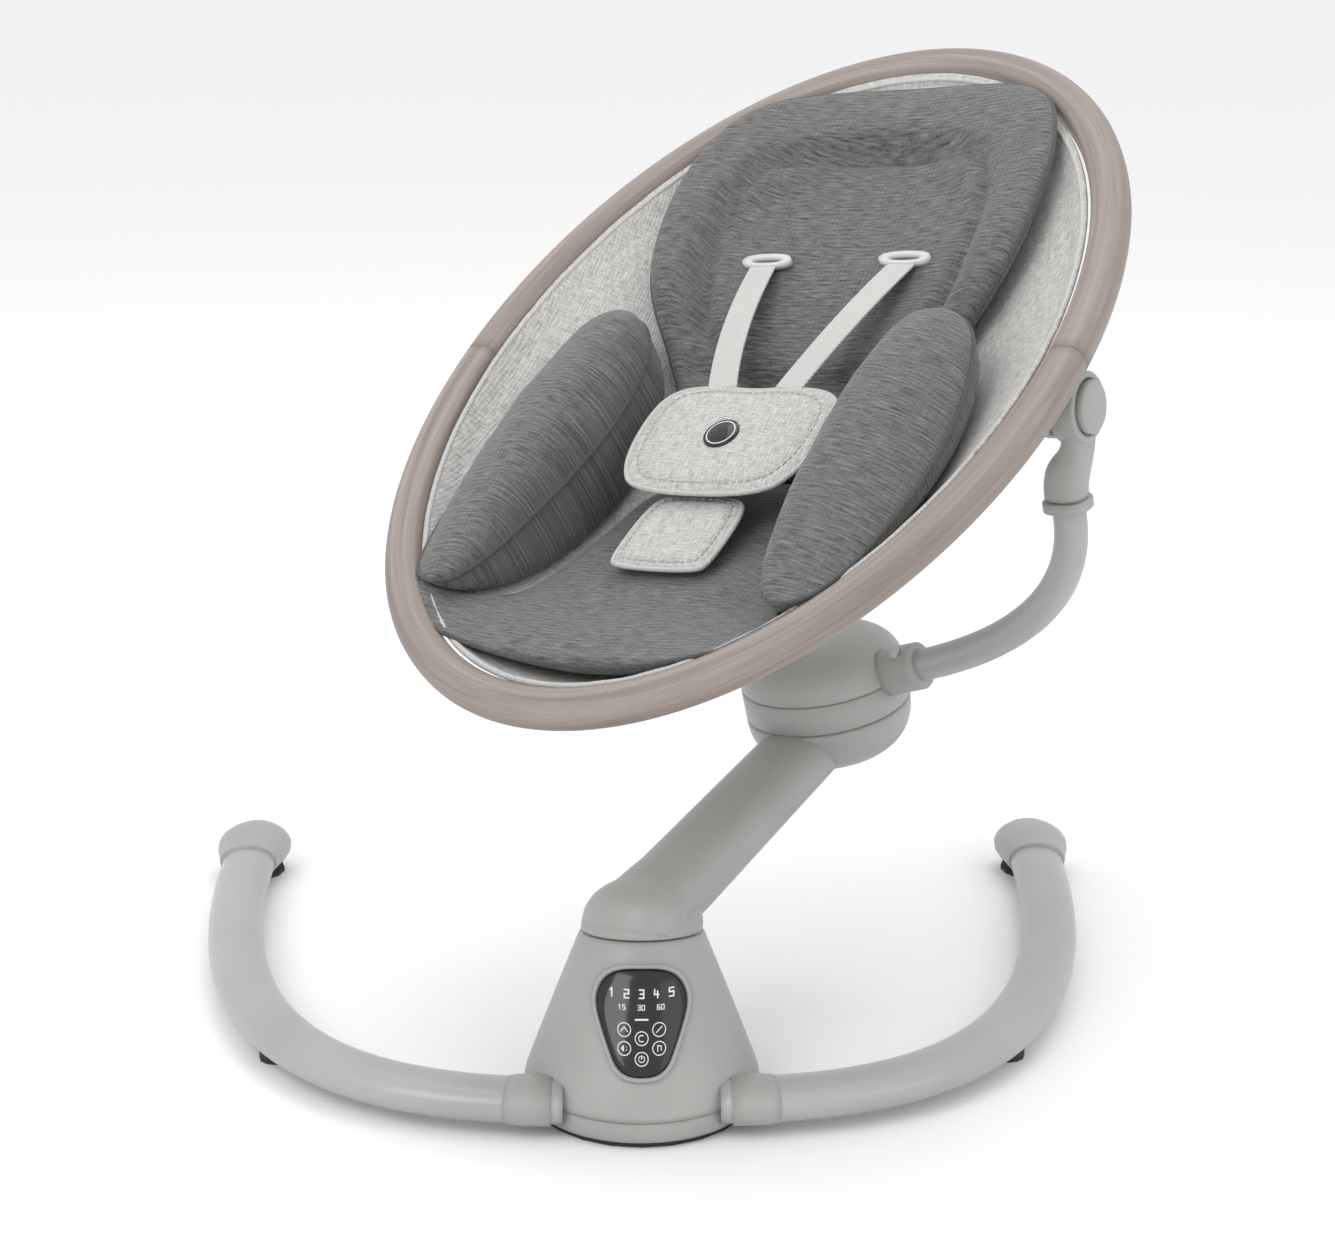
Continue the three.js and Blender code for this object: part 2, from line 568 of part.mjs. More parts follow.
// the stem's section narrows evenly from the collar to the housing
function stemBody(inset) {
  const path = stemPath();
  const halfWidth = STEM_WIDTH / 2;
  const halfDepth = STEM_DEPTH / 2;
  const section = new THREE.Shape();
  const corners = 14;
  for (let i = 0; i < corners; i += 1) {
    const angle = i * 2 * Math.PI / corners;
    const across = Math.sign(Math.cos(angle)) * Math.abs(Math.cos(angle)) ** 0.82;
    const deep = Math.sign(Math.sin(angle)) * Math.abs(Math.sin(angle)) ** 0.82;
    const draw = i === 0 ? 'moveTo' : 'lineTo';
    section[draw](across * (halfWidth - inset), deep * (halfDepth - inset));
  }
  section.closePath();
  const steps = 8;
  const body = sweep(section, path, steps, 1);
  const endY = HOUSING_SETBACK - HOUSING_RADIUS * 0.45;
  const widthRatio = STEM_END_WIDTH / STEM_WIDTH;
  const depthRatio = STEM_END_DEPTH / STEM_DEPTH;
  const samples = path.getSpacedPoints(60);
  return solid(shaped(body, (point) => {
    const share = THREE.MathUtils.clamp((point.y - AXIS_SETBACK) / (endY - AXIS_SETBACK), 0, 1);
    const nearest = samples.reduce((best, sample) => {
      const distance = (sample.y - point.y) ** 2 + (sample.z - point.z) ** 2;
      return distance < best.distance ? { distance, sample } : best;
    }, { distance: Infinity, sample: null }).sample;
    const narrow = 1 + (widthRatio - 1) * share;
    const thin = 1 + (depthRatio - 1) * share;
    point.x *= narrow;
    point.y = nearest.y + (point.y - nearest.y) * thin;
    point.z = nearest.z + (point.z - nearest.z) * thin;
  }));
}

const housingFrame = new THREE.Matrix4()
  .makeTranslation(0, HOUSING_SETBACK, HOUSING_HEIGHT)
  .multiply(new THREE.Matrix4().makeRotationX(radians(FORK_LEAN)));

function bowlProfile(inset) {
  const radius = HOUSING_RADIUS - inset;
  const depth = HOUSING_BOWL_DEPTH - inset;
  const profile = [[0, -depth]];
  for (const angle of [20, 38, 54, 68, 80]) {
    const reach = Math.sin(radians(angle)) ** 0.8;
    profile.push([radius * (0.3 + 0.7 * reach) * (angle < 30 ? 0.92 : 1), -depth * Math.cos(radians(angle)) ** 0.8]);
  }
  return profile;
}

function stemPieces() {
  const bowl = (inset, top) => {
    const radius = HOUSING_RADIUS - inset;
    const profile = [...bowlProfile(inset), [radius, Math.min(-1, top)], [radius, top], [0, top]];
    return solid(turned(profile).applyMatrix4(housingFrame));
  };
  // the stem's foot: a round collar that narrows and leans back into the stem
  const foot = (inset) => {
    const radius = COLLAR_RADIUS - inset;
    const profile = [
      [0, -10], [radius, -10], [radius, COLLAR_HEIGHT], [radius * 0.93, 2.2 * COLLAR_HEIGHT],
      [radius * 0.8, 4 * COLLAR_HEIGHT], [radius * 0.55, 5.6 * COLLAR_HEIGHT - inset], [0, 6 * COLLAR_HEIGHT - inset],
    ];
    return onSwingAxis(shaped(turned(profile, 26), (point) => {
      point.y += Math.max(0, point.z - COLLAR_HEIGHT / 2) * FOOT_LEAN;
    }));
  };
  const outside = unite(stemBody(0), bowl(0, -GAP), foot(0));
  const inside = unite(stemBody(STEM_WALL), bowl(STEM_WALL, 30), foot(STEM_WALL));
  const belowCollar = onSwingAxis(disc(4 * HUB_BASE_RADIUS, -150, RUNNING_CLEARANCE, 8));
  const floorPlate = onSwingAxis(disc(COLLAR_RADIUS - 1, RUNNING_CLEARANCE, RUNNING_CLEARANCE + STEM_FLOOR_THICKNESS));
  const flangeLow = RUNNING_CLEARANCE + STEM_FLOOR_THICKNESS + GAP;
  const shaftHole = onSwingAxis(disc(SHAFT_RADIUS + GAP, -5, flangeLow));
  const housingSpace = solid(disc(HOUSING_RADIUS + 2, -GAP, HOUSING_RADIUS, 24).applyMatrix4(housingFrame));
  const stem = outside.subtract(inside).subtract(housingSpace).add(floorPlate)
    .subtract(belowCollar).subtract(shaftHole);
  addPiece(sweepGroup, 'stem', stem, plastic);

  const shaftEnd = gearTop - GEAR_THICKNESS - 1 - GAP;
  const flangeTop = flangeLow + FLANGE_THICKNESS;
  const shaftProfile = [
    [0, shaftEnd], [GEAR_SEAT_RADIUS, shaftEnd], [GEAR_SEAT_RADIUS, gearTop], [SHAFT_RADIUS, gearTop],
    [SHAFT_RADIUS, flangeLow], [FLANGE_RADIUS, flangeLow], [FLANGE_RADIUS, flangeTop], [0, flangeTop],
  ];
  addPiece(sweepGroup, 'stem_shaft', turned(shaftProfile, SMALL_ROUND).applyMatrix4(hubTopFrame), steel);
  const gear = slab(gearShape(GEAR_TEETH, GEAR_SEAT_RADIUS + GAP / 2, motorAngle), GEAR_THICKNESS, 8);
  gear.translate(0, 0, gearTop - GEAR_THICKNESS - GAP);
  // the gear is drawn where it meshes with the pinion, so the sweep is taken off before the group turns it on
  addPiece(sweepGroup, 'stem_gear', gear.rotateZ(radians(SWEEP_FROM_MIDDLE)).applyMatrix4(hubTopFrame), steel);
}

const socketRise = radians(SOCKET_RISE);
const socketFrame = (side) => {
  const frame = new THREE.Matrix4().makeTranslation(side * SOCKET_REACH, 0, SOCKET_MOUTH_LEVEL);
  return frame.multiply(new THREE.Matrix4().makeRotationY(side * (Math.PI / 2 - socketRise)));
};

// local Z of the socket frame points outwards along the tube, and local X up or down across it
function socketSolid(side, grow, inLength, outLength) {
  const halfAcross = FORK_TUBE_DEPTH / 2 + grow;
  const halfHigh = FORK_TUBE_WIDTH / 2 + grow;
  const rod = slab(oval(halfHigh, halfAcross), inLength + outLength, 7).translate(0, 0, -inLength);
  return solid(rod.applyMatrix4(socketFrame(side)));
}

function housingPieces() {
  const socketWall = (SOCKET_HEIGHT - FORK_TUBE_WIDTH) / 2;
  const bandTop = HOUSING_BAND_HEIGHT;
  const band = solid(disc(HOUSING_RADIUS, GAP / 2, bandTop));
  const bandHollow = solid(disc(HOUSING_RADIUS - HOUSING_WALL, GAP / 2 + HOUSING_WALL, bandTop + 5));
  const dome = (inset) => {
    const radius = HOUSING_RADIUS - inset;
    const height = HOUSING_DOME_HEIGHT - inset;
    const low = bandTop + GAP;
    const profile = [[0, low], [radius, low]];
    for (const angle of [15, 32, 50, 66, 80]) {
      const level = low + height * Math.sin(radians(angle)) ** 0.9;
      profile.push([radius * Math.cos(radians(angle)) ** 0.62, level]);
    }
    profile.push([0, low + height]);
    return solid(turned(profile));
  };
  let lower = band.subtract(bandHollow);
  let upper = dome(0).subtract(dome(HOUSING_WALL));
  const upperCut = dome(0);
  for (const side of [1, -1]) {
    lower = lower.add(socketSolid(side, socketWall, SOCKET_DEPTH, 0).subtract(upperCut));
    upper = upper.subtract(socketSolid(side, socketWall + GAP, 60, 5));
  }
  for (const side of [1, -1]) {
    lower = lower.subtract(socketSolid(side, GAP, 60, 5));
    lower = lower.subtract(snapButton(side, RUNNING_CLEARANCE, 10));
  }
  addPiece(fork, 'housing_lower', largestBody(lower), plastic);
  addPiece(fork, 'housing_top', largestBody(upper), plastic);
}

// offcuts left by the socket cuts are dropped
function largestBody(whole) {
  return whole.decompose().reduce((best, part) => (part.volume() > best.volume() ? part : best));
}

// the button that locks a tube in its socket, or with clearance and overrun the hole it stands in
function snapButton(side, clearance, overrun) {
  const turn = side * radians(SNAP_FRONT_TURN);
  const outerEnd = SOCKET_HEIGHT / 2 + SNAP_BUTTON_PROUD + overrun;
  const button = disc(SNAP_BUTTON_RADIUS + clearance, FORK_TUBE_WIDTH / 2 - SNAP_BUTTON_TAIL, outerEnd, SMALL_ROUND);
  return solid(button
    .rotateY(-side * Math.PI / 2)
    .rotateZ(turn)
    .translate(0, 0, -SNAP_BUTTON_INSET)
    .applyMatrix4(socketFrame(side)));
}

const forkTubePath = (side) => {
  const along = V3(side * Math.cos(socketRise), 0, Math.sin(socketRise));
  const mouth = V3(side * SOCKET_REACH, 0, SOCKET_MOUTH_LEVEL);
  const inner = mouth.clone().addScaledVector(along, -26);
  const path = new THREE.CurvePath();
  path.add(new THREE.LineCurve3(inner, mouth));
  path.add(new THREE.CubicBezierCurve3(
    mouth,
    mouth.clone().addScaledVector(along, 70),
    V3(side * TUBE_TOP_SPAN, 0, COLLAR_RING_HEIGHT - 64),
    V3(side * TUBE_TOP_SPAN, 0, COLLAR_RING_HEIGHT - 8),
  ));
  const straightStart = V3(side * TUBE_TOP_SPAN, 0, COLLAR_RING_HEIGHT - 8);
  path.add(new THREE.LineCurve3(straightStart, V3(side * TUBE_TOP_SPAN, 0, TUBE_TOP_HEIGHT)));
  return path;
};

function forkPieces(side, prefix) {
  const path = forkTubePath(side);
  const halfAcross = FORK_TUBE_DEPTH / 2;
  const halfHigh = FORK_TUBE_WIDTH / 2;
  const tubeSolid = solid(sweep(ovalTube(halfAcross, halfHigh, FORK_TUBE_WALL), path, 12))
    .subtract(snapButton(side, RUNNING_CLEARANCE, 10));
  addPiece(fork, `${prefix}_fork_tube`, tubeSolid, tube);
  addPiece(fork, `${prefix}_snap_button`, snapButton(side, 0, 0), steel);

  // arm: a sleeve over the tube's end that leans out to the pivot hub
  const hubMiddle = PIVOT_HALF_SPAN - ARM_HUB_WIDTH / 2;
  const hubFrame = new THREE.Matrix4()
    .makeTranslation(side * hubMiddle, 0, PIVOT_HEIGHT)
    .multiply(new THREE.Matrix4().makeRotationY(side * Math.PI / 2));
  const sleeveLow = COLLAR_RING_HEIGHT + 4;
  const armPath = new THREE.CubicBezierCurve3(
    V3(side * TUBE_TOP_SPAN, 0, sleeveLow), V3(side * TUBE_TOP_SPAN, 0, sleeveLow + 24),
    V3(side * hubMiddle, 0, sleeveLow + 18), V3(side * hubMiddle, 0, PIVOT_HEIGHT - 4));
  const arm = solid(sweep(roundedRectangle(ARM_SLEEVE_WIDTH, ARM_SLEEVE_DEPTH, 8), armPath, 5, 3));
  const hub = solid(disc(ARM_HUB_RADIUS, -ARM_HUB_WIDTH / 2, ARM_HUB_WIDTH / 2).applyMatrix4(hubFrame));
  const trim = (middle) => solid(box(60, 80, 90).translate(side * middle, 0, PIVOT_HEIGHT + 2));
  const insideFace = trim(PIVOT_HALF_SPAN - ARM_HUB_WIDTH - 30);
  const outsideFace = trim(PIVOT_HALF_SPAN + 30);
  const pocket = (radius, depth) => solid(
    disc(radius, ARM_HUB_WIDTH / 2 - depth, ARM_HUB_WIDTH / 2 + 5, 20).applyMatrix4(hubFrame));
  const tubeHole = solid(slab(oval(halfHigh + GAP, halfAcross + GAP), TUBE_TOP_HEIGHT - sleeveLow + 3 + GAP, 7)
    .translate(side * TUBE_TOP_SPAN, 0, sleeveLow - 3));
  const armSolid = arm
    .subtract(insideFace)
    .subtract(outsideFace)
    .add(hub)
    .subtract(pocket(RECLINE_BUTTON_RADIUS + RUNNING_CLEARANCE, RECLINE_TRAVEL + 3))
    .subtract(pocket(10, 13))
    .subtract(pocket(PIVOT_PIN_RADIUS + RUNNING_CLEARANCE, ARM_HUB_WIDTH + 5))
    .subtract(tubeHole);
  addPiece(fork, `${prefix}_arm`, armSolid, plastic);

  const ringShape = roundedRectangle(COLLAR_RING_WIDTH, COLLAR_RING_DEPTH, 9);
  const ringHole = new THREE.Path().absellipse(0, 0, halfHigh + 2 * GAP, halfAcross + 2 * GAP, 0, 2 * Math.PI, true, 0);
  ringShape.holes.push(ringHole);
  addPiece(fork, `${prefix}_arm_collar`, slab(ringShape, COLLAR_RING_THICKNESS, 5).translate(side * TUBE_TOP_SPAN, 0, COLLAR_RING_HEIGHT - 4), plastic);

  const buttonFace = ARM_HUB_WIDTH / 2 + RECLINE_BUTTON_PROUD;
  const buttonBack = ARM_HUB_WIDTH / 2 - 2.5;
  const buttonProfile = [
    [0, buttonBack], [RECLINE_BUTTON_RADIUS, buttonBack], [RECLINE_BUTTON_RADIUS, buttonFace - 1.4],
    [RECLINE_BUTTON_RADIUS - 1.6, buttonFace], [0, buttonFace],
  ];
  addPiece(fork, `${prefix}_recline_button`, turned(buttonProfile, 24).applyMatrix4(hubFrame), plastic);
  addPiece(fork, `${prefix}_button_spring`, buttonSpring().applyMatrix4(hubFrame), steel);
}

// a coil that sits in the bottom of the button's pocket
function buttonSpring() {
  const low = ARM_HUB_WIDTH / 2 - 12;
  const coil = new THREE.Curve();
  coil.getPoint = (share, target = V3(0, 0, 0)) => {
    const angle = share * SPRING_TURNS * 2 * Math.PI;
    const level = low + share * SPRING_TURNS * SPRING_PITCH;
    return target.set(SPRING_RADIUS * Math.cos(angle), SPRING_RADIUS * Math.sin(angle), level);
  };
  return sweep(oval(SPRING_WIRE / 2, SPRING_WIRE / 2), coil, SPRING_TURNS * 8, 2);
}

// ---------------------------------------------------------------- seat ring and brackets

const ringRadiusX = SEAT_HALF_WIDTH - RING_WIDTH / 2;
const ringRadiusY = SEAT_HALF_LENGTH - RING_WIDTH / 2;

// half of the ring's centre line, shortened a little at each joint
function ringHalf(towardsHead) {
  const trim = GAP / 2 / ringRadiusX;
  const start = towardsHead ? trim : Math.PI + trim;
  const half = new THREE.Curve();
  half.getPoint = (share, target = V3(0, 0, 0)) => {
    const angle = start + share * (Math.PI - 2 * trim);
    return target.set(ringRadiusX * Math.cos(angle), ringRadiusY * Math.sin(angle), 0);
  };
  return half;
}

function ringPieces() {
  const section = roundedRectangle(RING_HEIGHT, RING_WIDTH, 8);
  addPiece(seat, 'ring_upper_half', sweep(section, ringHalf(true), 18, 2), wood);
  addPiece(seat, 'ring_lower_half', sweep(section, ringHalf(false), 18, 2), wood);

  for (const [side, prefix] of [[1, 'right'], [-1, 'left']]) {
    const inner = PIVOT_HALF_SPAN - ARM_HUB_WIDTH - RUNNING_CLEARANCE - BRACKET_THICKNESS;
    const top = -RING_HEIGHT / 2 - GAP;
    const shape = new THREE.Shape();
    const low = -PIVOT_BELOW_RING;
    const foot = ARM_HUB_RADIUS - 2;
    shape.moveTo(BRACKET_LENGTH / 2, top);
    shape.bezierCurveTo(BRACKET_LENGTH / 2 - 10, top - 16, foot + 8, low + 4, foot - 2, low - 8);
    shape.absarc(-PIVOT_BEHIND_MIDDLE, low, foot, radians(-22), radians(-158), true);
    shape.bezierCurveTo(-foot - 10, low + 4, -BRACKET_LENGTH / 2 + 10, top - 16, -BRACKET_LENGTH / 2, top);
    shape.closePath();
    const pinHole = new THREE.Path().absarc(-PIVOT_BEHIND_MIDDLE, low, PIVOT_PIN_RADIUS + GAP / 2, 0, 2 * Math.PI, false);
    shape.holes.push(pinHole);
    const plate = slab(shape, BRACKET_THICKNESS, 6).rotateX(Math.PI / 2).rotateZ(Math.PI / 2);
    plate.translate(side > 0 ? inner : -inner - BRACKET_THICKNESS, 0, 0);
    addPiece(seat, `${prefix}_ring_bracket`, plate, plastic);

    const pinLength = BRACKET_THICKNESS + ARM_HUB_WIDTH - 7;
    const pin = disc(PIVOT_PIN_RADIUS, 0, pinLength, SMALL_ROUND)
      .rotateY(side * Math.PI / 2)
      .translate(side * (inner + 1), -PIVOT_BEHIND_MIDDLE, low);
    addPiece(seat, `${prefix}_pivot_pin`, pin, steel);
  }
}

// ---------------------------------------------------------------- liner and cushions

const linerHalfWidth = SEAT_HALF_WIDTH - RING_WIDTH - LINER_EDGE_CLEARANCE;
const linerHalfLength = SEAT_HALF_LENGTH - RING_WIDTH - LINER_EDGE_CLEARANCE;

// depth of the liner's upper face below the ring's middle plane
function linerLevel(x, y) {
  let share = 0.5;
  for (let i = 0; i < 24; i += 1) {
    const middle = LINER_LOW_POINT * (1 - share * share);
    share += 0.5 * (Math.hypot(x / linerHalfWidth, (y - middle) / linerHalfLength) - share);
  }
  share = Math.min(1, share);
  return -LINER_DEPTH * (1 - share ** LINER_FULLNESS);
}

function linerPiece() {
  const shares = [0, 0.18, 0.36, 0.54, 0.7, 0.84, 0.94, 1];
  const profile = [
    ...shares.map((share) => [share, -1]),
    ...[...shares].reverse().map((share) => [share, 1]),
  ];
  const bowl = turned(profile, 24);
  const edgeTop = 4;
  return shaped(bowl, (point) => {
    const share = Math.hypot(point.x, point.y);
    const upper = point.z > 0;
    const inset = upper ? LINER_THICKNESS * smoothStep(0.5, 1, share) * 0.6 : 0;
    const level = -LINER_DEPTH * (1 - share ** LINER_FULLNESS);
    point.x *= linerHalfWidth - inset;
    point.y = point.y * (linerHalfLength - inset) + LINER_LOW_POINT * (1 - share * share);
    point.z = level + (upper ? edgeTop * smoothStep(0.9, 1, share) : -LINER_THICKNESS);
  });
}

// a soft closed form: a rounded outline, its underside on one surface and its face on another
function pad({ x, y, halfWidth, halfLength, squareness = 0.55, under, face, bend }) {
  const ball = new THREE.SphereGeometry(1, 18, 8).rotateX(Math.PI / 2);
  return shaped(ball, (point) => {
    const reach = Math.hypot(point.x, point.y);
    const out = reach > 0 ? Math.sin(Math.PI / 2 * reach) ** 0.8 / reach : 0;
    const side = Math.sign(point.x) * Math.abs(point.x * out) ** squareness * Math.abs(out * reach) ** (1 - squareness);
    const along = Math.sign(point.y) * Math.abs(point.y * out) ** squareness * Math.abs(out * reach) ** (1 - squareness);
    const thickness = Math.sign(point.z) * Math.abs(point.z) ** 0.6;
    point.x = x + halfWidth * side;
    point.y = y + halfLength * along;
    if (bend) bend(point);
    const low = under(point.x, point.y);
    const high = Math.max(low + 4, face(point.x, point.y));
    point.z = (low + high) / 2 + thickness * (high - low) / 2;
  });
}

const onLiner = (x, y) => linerLevel(x, y) + CUSHION_LIFT;

// how high the cushions' faces stand along the middle of the seat
function middleFace(y) {
  const backFace = THREE.MathUtils.mapLinear(y, STRAP_GUIDE_POSITION, BACK_TOP, -22, 0);
  const lowBack = THREE.MathUtils.mapLinear(y, BACK_BOTTOM, STRAP_GUIDE_POSITION, -52, -22);
  const share = THREE.MathUtils.clamp((y - SEAT_FRONT) / (BACK_BOTTOM - SEAT_FRONT), 0, 1);
  const seatFace = 2 - 64 * share ** 0.8;
  if (y > STRAP_GUIDE_POSITION) return backFace;
  return y > BACK_BOTTOM ? lowBack : seatFace;
}

// the side cushions crown near their inner side and fall away to their outer edge
function wingFace(x) {
  const fromCrown = Math.abs(x) - WING_CROWN;
  return WING_TOP - (fromCrown > 0 ? 0.0095 : 0.04) * fromCrown * fromCrown;
}

function cushionPieces() {
  const backMiddle = (BACK_TOP + BACK_BOTTOM) / 2;
  const backHalf = (BACK_TOP - BACK_BOTTOM) / 2;
  const back = pad({
    x: 0, y: backMiddle, halfWidth: BACK_HALF_WIDTH, halfLength: backHalf, under: onLiner, squareness: 0.5,
    face: (x, y) => Math.max(middleFace(y), onLiner(x, y) + 14),
    bend: (point) => {
      point.x *= 0.54 + 0.46 * smoothStep(10, 150, point.y);
    },
  });
  addPiece(seat, 'back_cushion', back, darkFabric);

  for (const [side, prefix] of [[1, 'right'], [-1, 'left']]) {
    const wing = pad({
      x: side * WING_SPAN, y: (WING_BACK + WING_FRONT) / 2, halfWidth: WING_HALF_WIDTH, halfLength: (WING_BACK - WING_FRONT) / 2,
      under: onLiner, face: wingFace, squareness: 0.6,
      bend: (point) => {
        point.x -= side * 12 * ((point.y + 75) / 135) ** 2;
      },
    });
    addPiece(seat, `${prefix}_wing_cushion`, wing, darkFabric);
  }

  const seatBack = BACK_BOTTOM - 3;
  const seatCushion = pad({
    x: 0, y: (SEAT_FRONT + seatBack) / 2, halfWidth: SEAT_LOBE_HALF_WIDTH, halfLength: (seatBack - SEAT_FRONT) / 2,
    under: onLiner, squareness: 0.5,
    face: (x, y) => Math.max(middleFace(y) - 2, onLiner(x, y) + 12),
    bend: (point) => {
      const lobe = 1 - smoothStep(WING_FRONT - 16, WING_FRONT - 4, point.y);
      const wanted = SEAT_TONGUE_HALF_WIDTH + (SEAT_LOBE_HALF_WIDTH - SEAT_TONGUE_HALF_WIDTH) * lobe;
      const room = linerHalfWidth * Math.sqrt(1 - (point.y / linerHalfLength) ** 2) - 2 * CUSHION_LIFT;
      point.x *= Math.min(wanted, room) / SEAT_LOBE_HALF_WIDTH;
    },
  });
  addPiece(seat, 'seat_cushion', seatCushion, darkFabric);
}

// ---------------------------------------------------------------- harness

function harnessPieces() {
  const padTop = BELLY_PAD_LEVEL + PAD_THICKNESS / 2;
  const padUnder = BELLY_PAD_LEVEL - PAD_THICKNESS / 2;
  for (const [side, prefix] of [[1, 'right'], [-1, 'left']]) {
    const slotted = roundedRectangle(WEBBING_WIDTH + 18, 11, 4);
    slotted.holes.push(new THREE.Path([[-1, -1], [-1, 1], [1, 1], [1, -1]].map(([across, along]) => (
      new THREE.Vector2(across * (WEBBING_WIDTH / 2 + 1), along * 2.2)))));
    const guide = slab(slotted, STRAP_GUIDE_THICKNESS, 4)
      .translate(side * STRAP_SPREAD, STRAP_GUIDE_POSITION, STRAP_GUIDE_LEVEL);
    addPiece(seat, `${prefix}_strap_guide`, guide, webbing);

    const start = V3(side * STRAP_SPREAD, STRAP_GUIDE_POSITION - 8.5, STRAP_GUIDE_LEVEL + 2);
    const end = V3(side * 24, BELLY_PAD_POSITION + BELLY_PAD_HALF_LENGTH + 3, BELLY_PAD_LEVEL);
    const strapPath = new THREE.QuadraticBezierCurve3(start, V3(side * 42, (start.y + end.y) / 2, STRAP_GUIDE_LEVEL + 8), end);
    const strap = sweep(roundedRectangle(WEBBING_THICKNESS, WEBBING_WIDTH, 0.9), strapPath, 8, 1);
    addPiece(seat, `${prefix}_shoulder_strap`, strap, webbing);
  }

  const belly = pad({
    x: 0, y: BELLY_PAD_POSITION, halfWidth: BELLY_PAD_HALF_WIDTH, halfLength: BELLY_PAD_HALF_LENGTH, squareness: 0.8,
    under: () => padUnder, face: () => padTop,
  });
  addPiece(seat, 'belly_pad', belly, lightFabric);
  addPiece(seat, 'pad_badge', disc(BADGE_RADIUS, padTop + GAP, padTop + GAP + 1.6, 20).translate(0, BELLY_PAD_POSITION, 0), gloss);

  const buckleTop = padUnder - 1;
  const buckleMiddle = BELLY_PAD_POSITION - BUCKLE_SETBACK;
  const buckle = slab(roundedRectangle(BUCKLE_WIDTH, BUCKLE_LENGTH, 7), BUCKLE_THICKNESS, 3)
    .translate(0, buckleMiddle, buckleTop - BUCKLE_THICKNESS);
  const buttonPocket = disc(BUCKLE_BUTTON_RADIUS + RUNNING_CLEARANCE, buckleTop - 5, buckleTop + 5, SMALL_ROUND)
    .translate(0, buckleMiddle, 0);
  addPiece(seat, 'harness_buckle', solid(buckle).subtract(solid(buttonPocket)), plastic);
  const button = disc(BUCKLE_BUTTON_RADIUS, buckleTop - 2.5, buckleTop + 0.5, SMALL_ROUND).translate(0, buckleMiddle, 0);
  addPiece(seat, 'buckle_button', button, gloss);

  const crotchTop = BELLY_PAD_POSITION - BELLY_PAD_HALF_LENGTH + 2;
  const crotch = slab(roundedRectangle(CROTCH_PAD_WIDTH, crotchTop - CROTCH_PAD_END, 10), PAD_THICKNESS - 1, 4);
  crotch.rotateX(-radians(CROTCH_PAD_SLOPE));
  crotch.translate(0, (crotchTop + CROTCH_PAD_END) / 2, padUnder - PAD_THICKNESS - 1.5);
  addPiece(seat, 'crotch_pad', crotch, lightFabric);
}

// ---------------------------------------------------------------- assembly

hubPieces();
drivePieces();
legPieces(1, 'right');
legPieces(-1, 'left');
stemPieces();
housingPieces();
forkPieces(1, 'right');
forkPieces(-1, 'left');
ringPieces();
addPiece(seat, 'seat_liner', linerPiece(), lightFabric);
cushionPieces();
harnessPieces();

export default babySwing;
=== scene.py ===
import bpy, bmesh, json, math
from mathutils import Matrix, Vector, noise


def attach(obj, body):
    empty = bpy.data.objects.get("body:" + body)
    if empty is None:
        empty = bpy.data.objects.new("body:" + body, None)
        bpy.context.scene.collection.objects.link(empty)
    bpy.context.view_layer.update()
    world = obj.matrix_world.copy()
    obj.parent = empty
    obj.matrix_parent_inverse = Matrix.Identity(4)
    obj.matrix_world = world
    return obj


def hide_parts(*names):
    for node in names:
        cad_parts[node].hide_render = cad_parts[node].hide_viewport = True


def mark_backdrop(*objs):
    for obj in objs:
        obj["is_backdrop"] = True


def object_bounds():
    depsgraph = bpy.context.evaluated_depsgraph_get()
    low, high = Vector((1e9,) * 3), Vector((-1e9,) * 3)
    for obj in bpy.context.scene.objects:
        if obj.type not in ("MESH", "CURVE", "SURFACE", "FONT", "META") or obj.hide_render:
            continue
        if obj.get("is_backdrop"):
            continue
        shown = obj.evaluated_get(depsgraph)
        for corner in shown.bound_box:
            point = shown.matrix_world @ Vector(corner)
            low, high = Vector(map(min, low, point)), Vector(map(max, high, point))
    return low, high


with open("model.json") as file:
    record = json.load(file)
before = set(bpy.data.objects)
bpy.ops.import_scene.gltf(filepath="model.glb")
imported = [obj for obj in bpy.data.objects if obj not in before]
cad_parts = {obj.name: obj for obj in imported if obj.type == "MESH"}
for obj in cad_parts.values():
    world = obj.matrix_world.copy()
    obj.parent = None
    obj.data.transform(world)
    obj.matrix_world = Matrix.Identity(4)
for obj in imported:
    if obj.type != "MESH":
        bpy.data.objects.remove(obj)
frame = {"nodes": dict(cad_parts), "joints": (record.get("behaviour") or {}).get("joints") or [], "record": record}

MM = 0.001


def plain(value):
    """Bounds as plain lists of numbers."""
    if isinstance(value, dict):
        return {key: plain(item) for key, item in value.items()}
    if hasattr(value, "__len__"):
        return [plain(item) for item in value]
    return float(value)


SIZES = {"cad": plain(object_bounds())}
joint = {j["name"]: j for j in frame["joints"]}

# ------------------------------------------------------------------ frames of the moving groups
SWING_AT = Vector(joint["swing"]["pos_m"]) / MM
SWING_AXIS = Vector(joint["swing"]["axis"])
RECLINE_AT = Vector(joint["recline"]["pos_m"]) / MM
TILT, SWEEP, LEAN, RECLINE = (math.radians(a) for a in (10, 36.5, 8.2, 32))

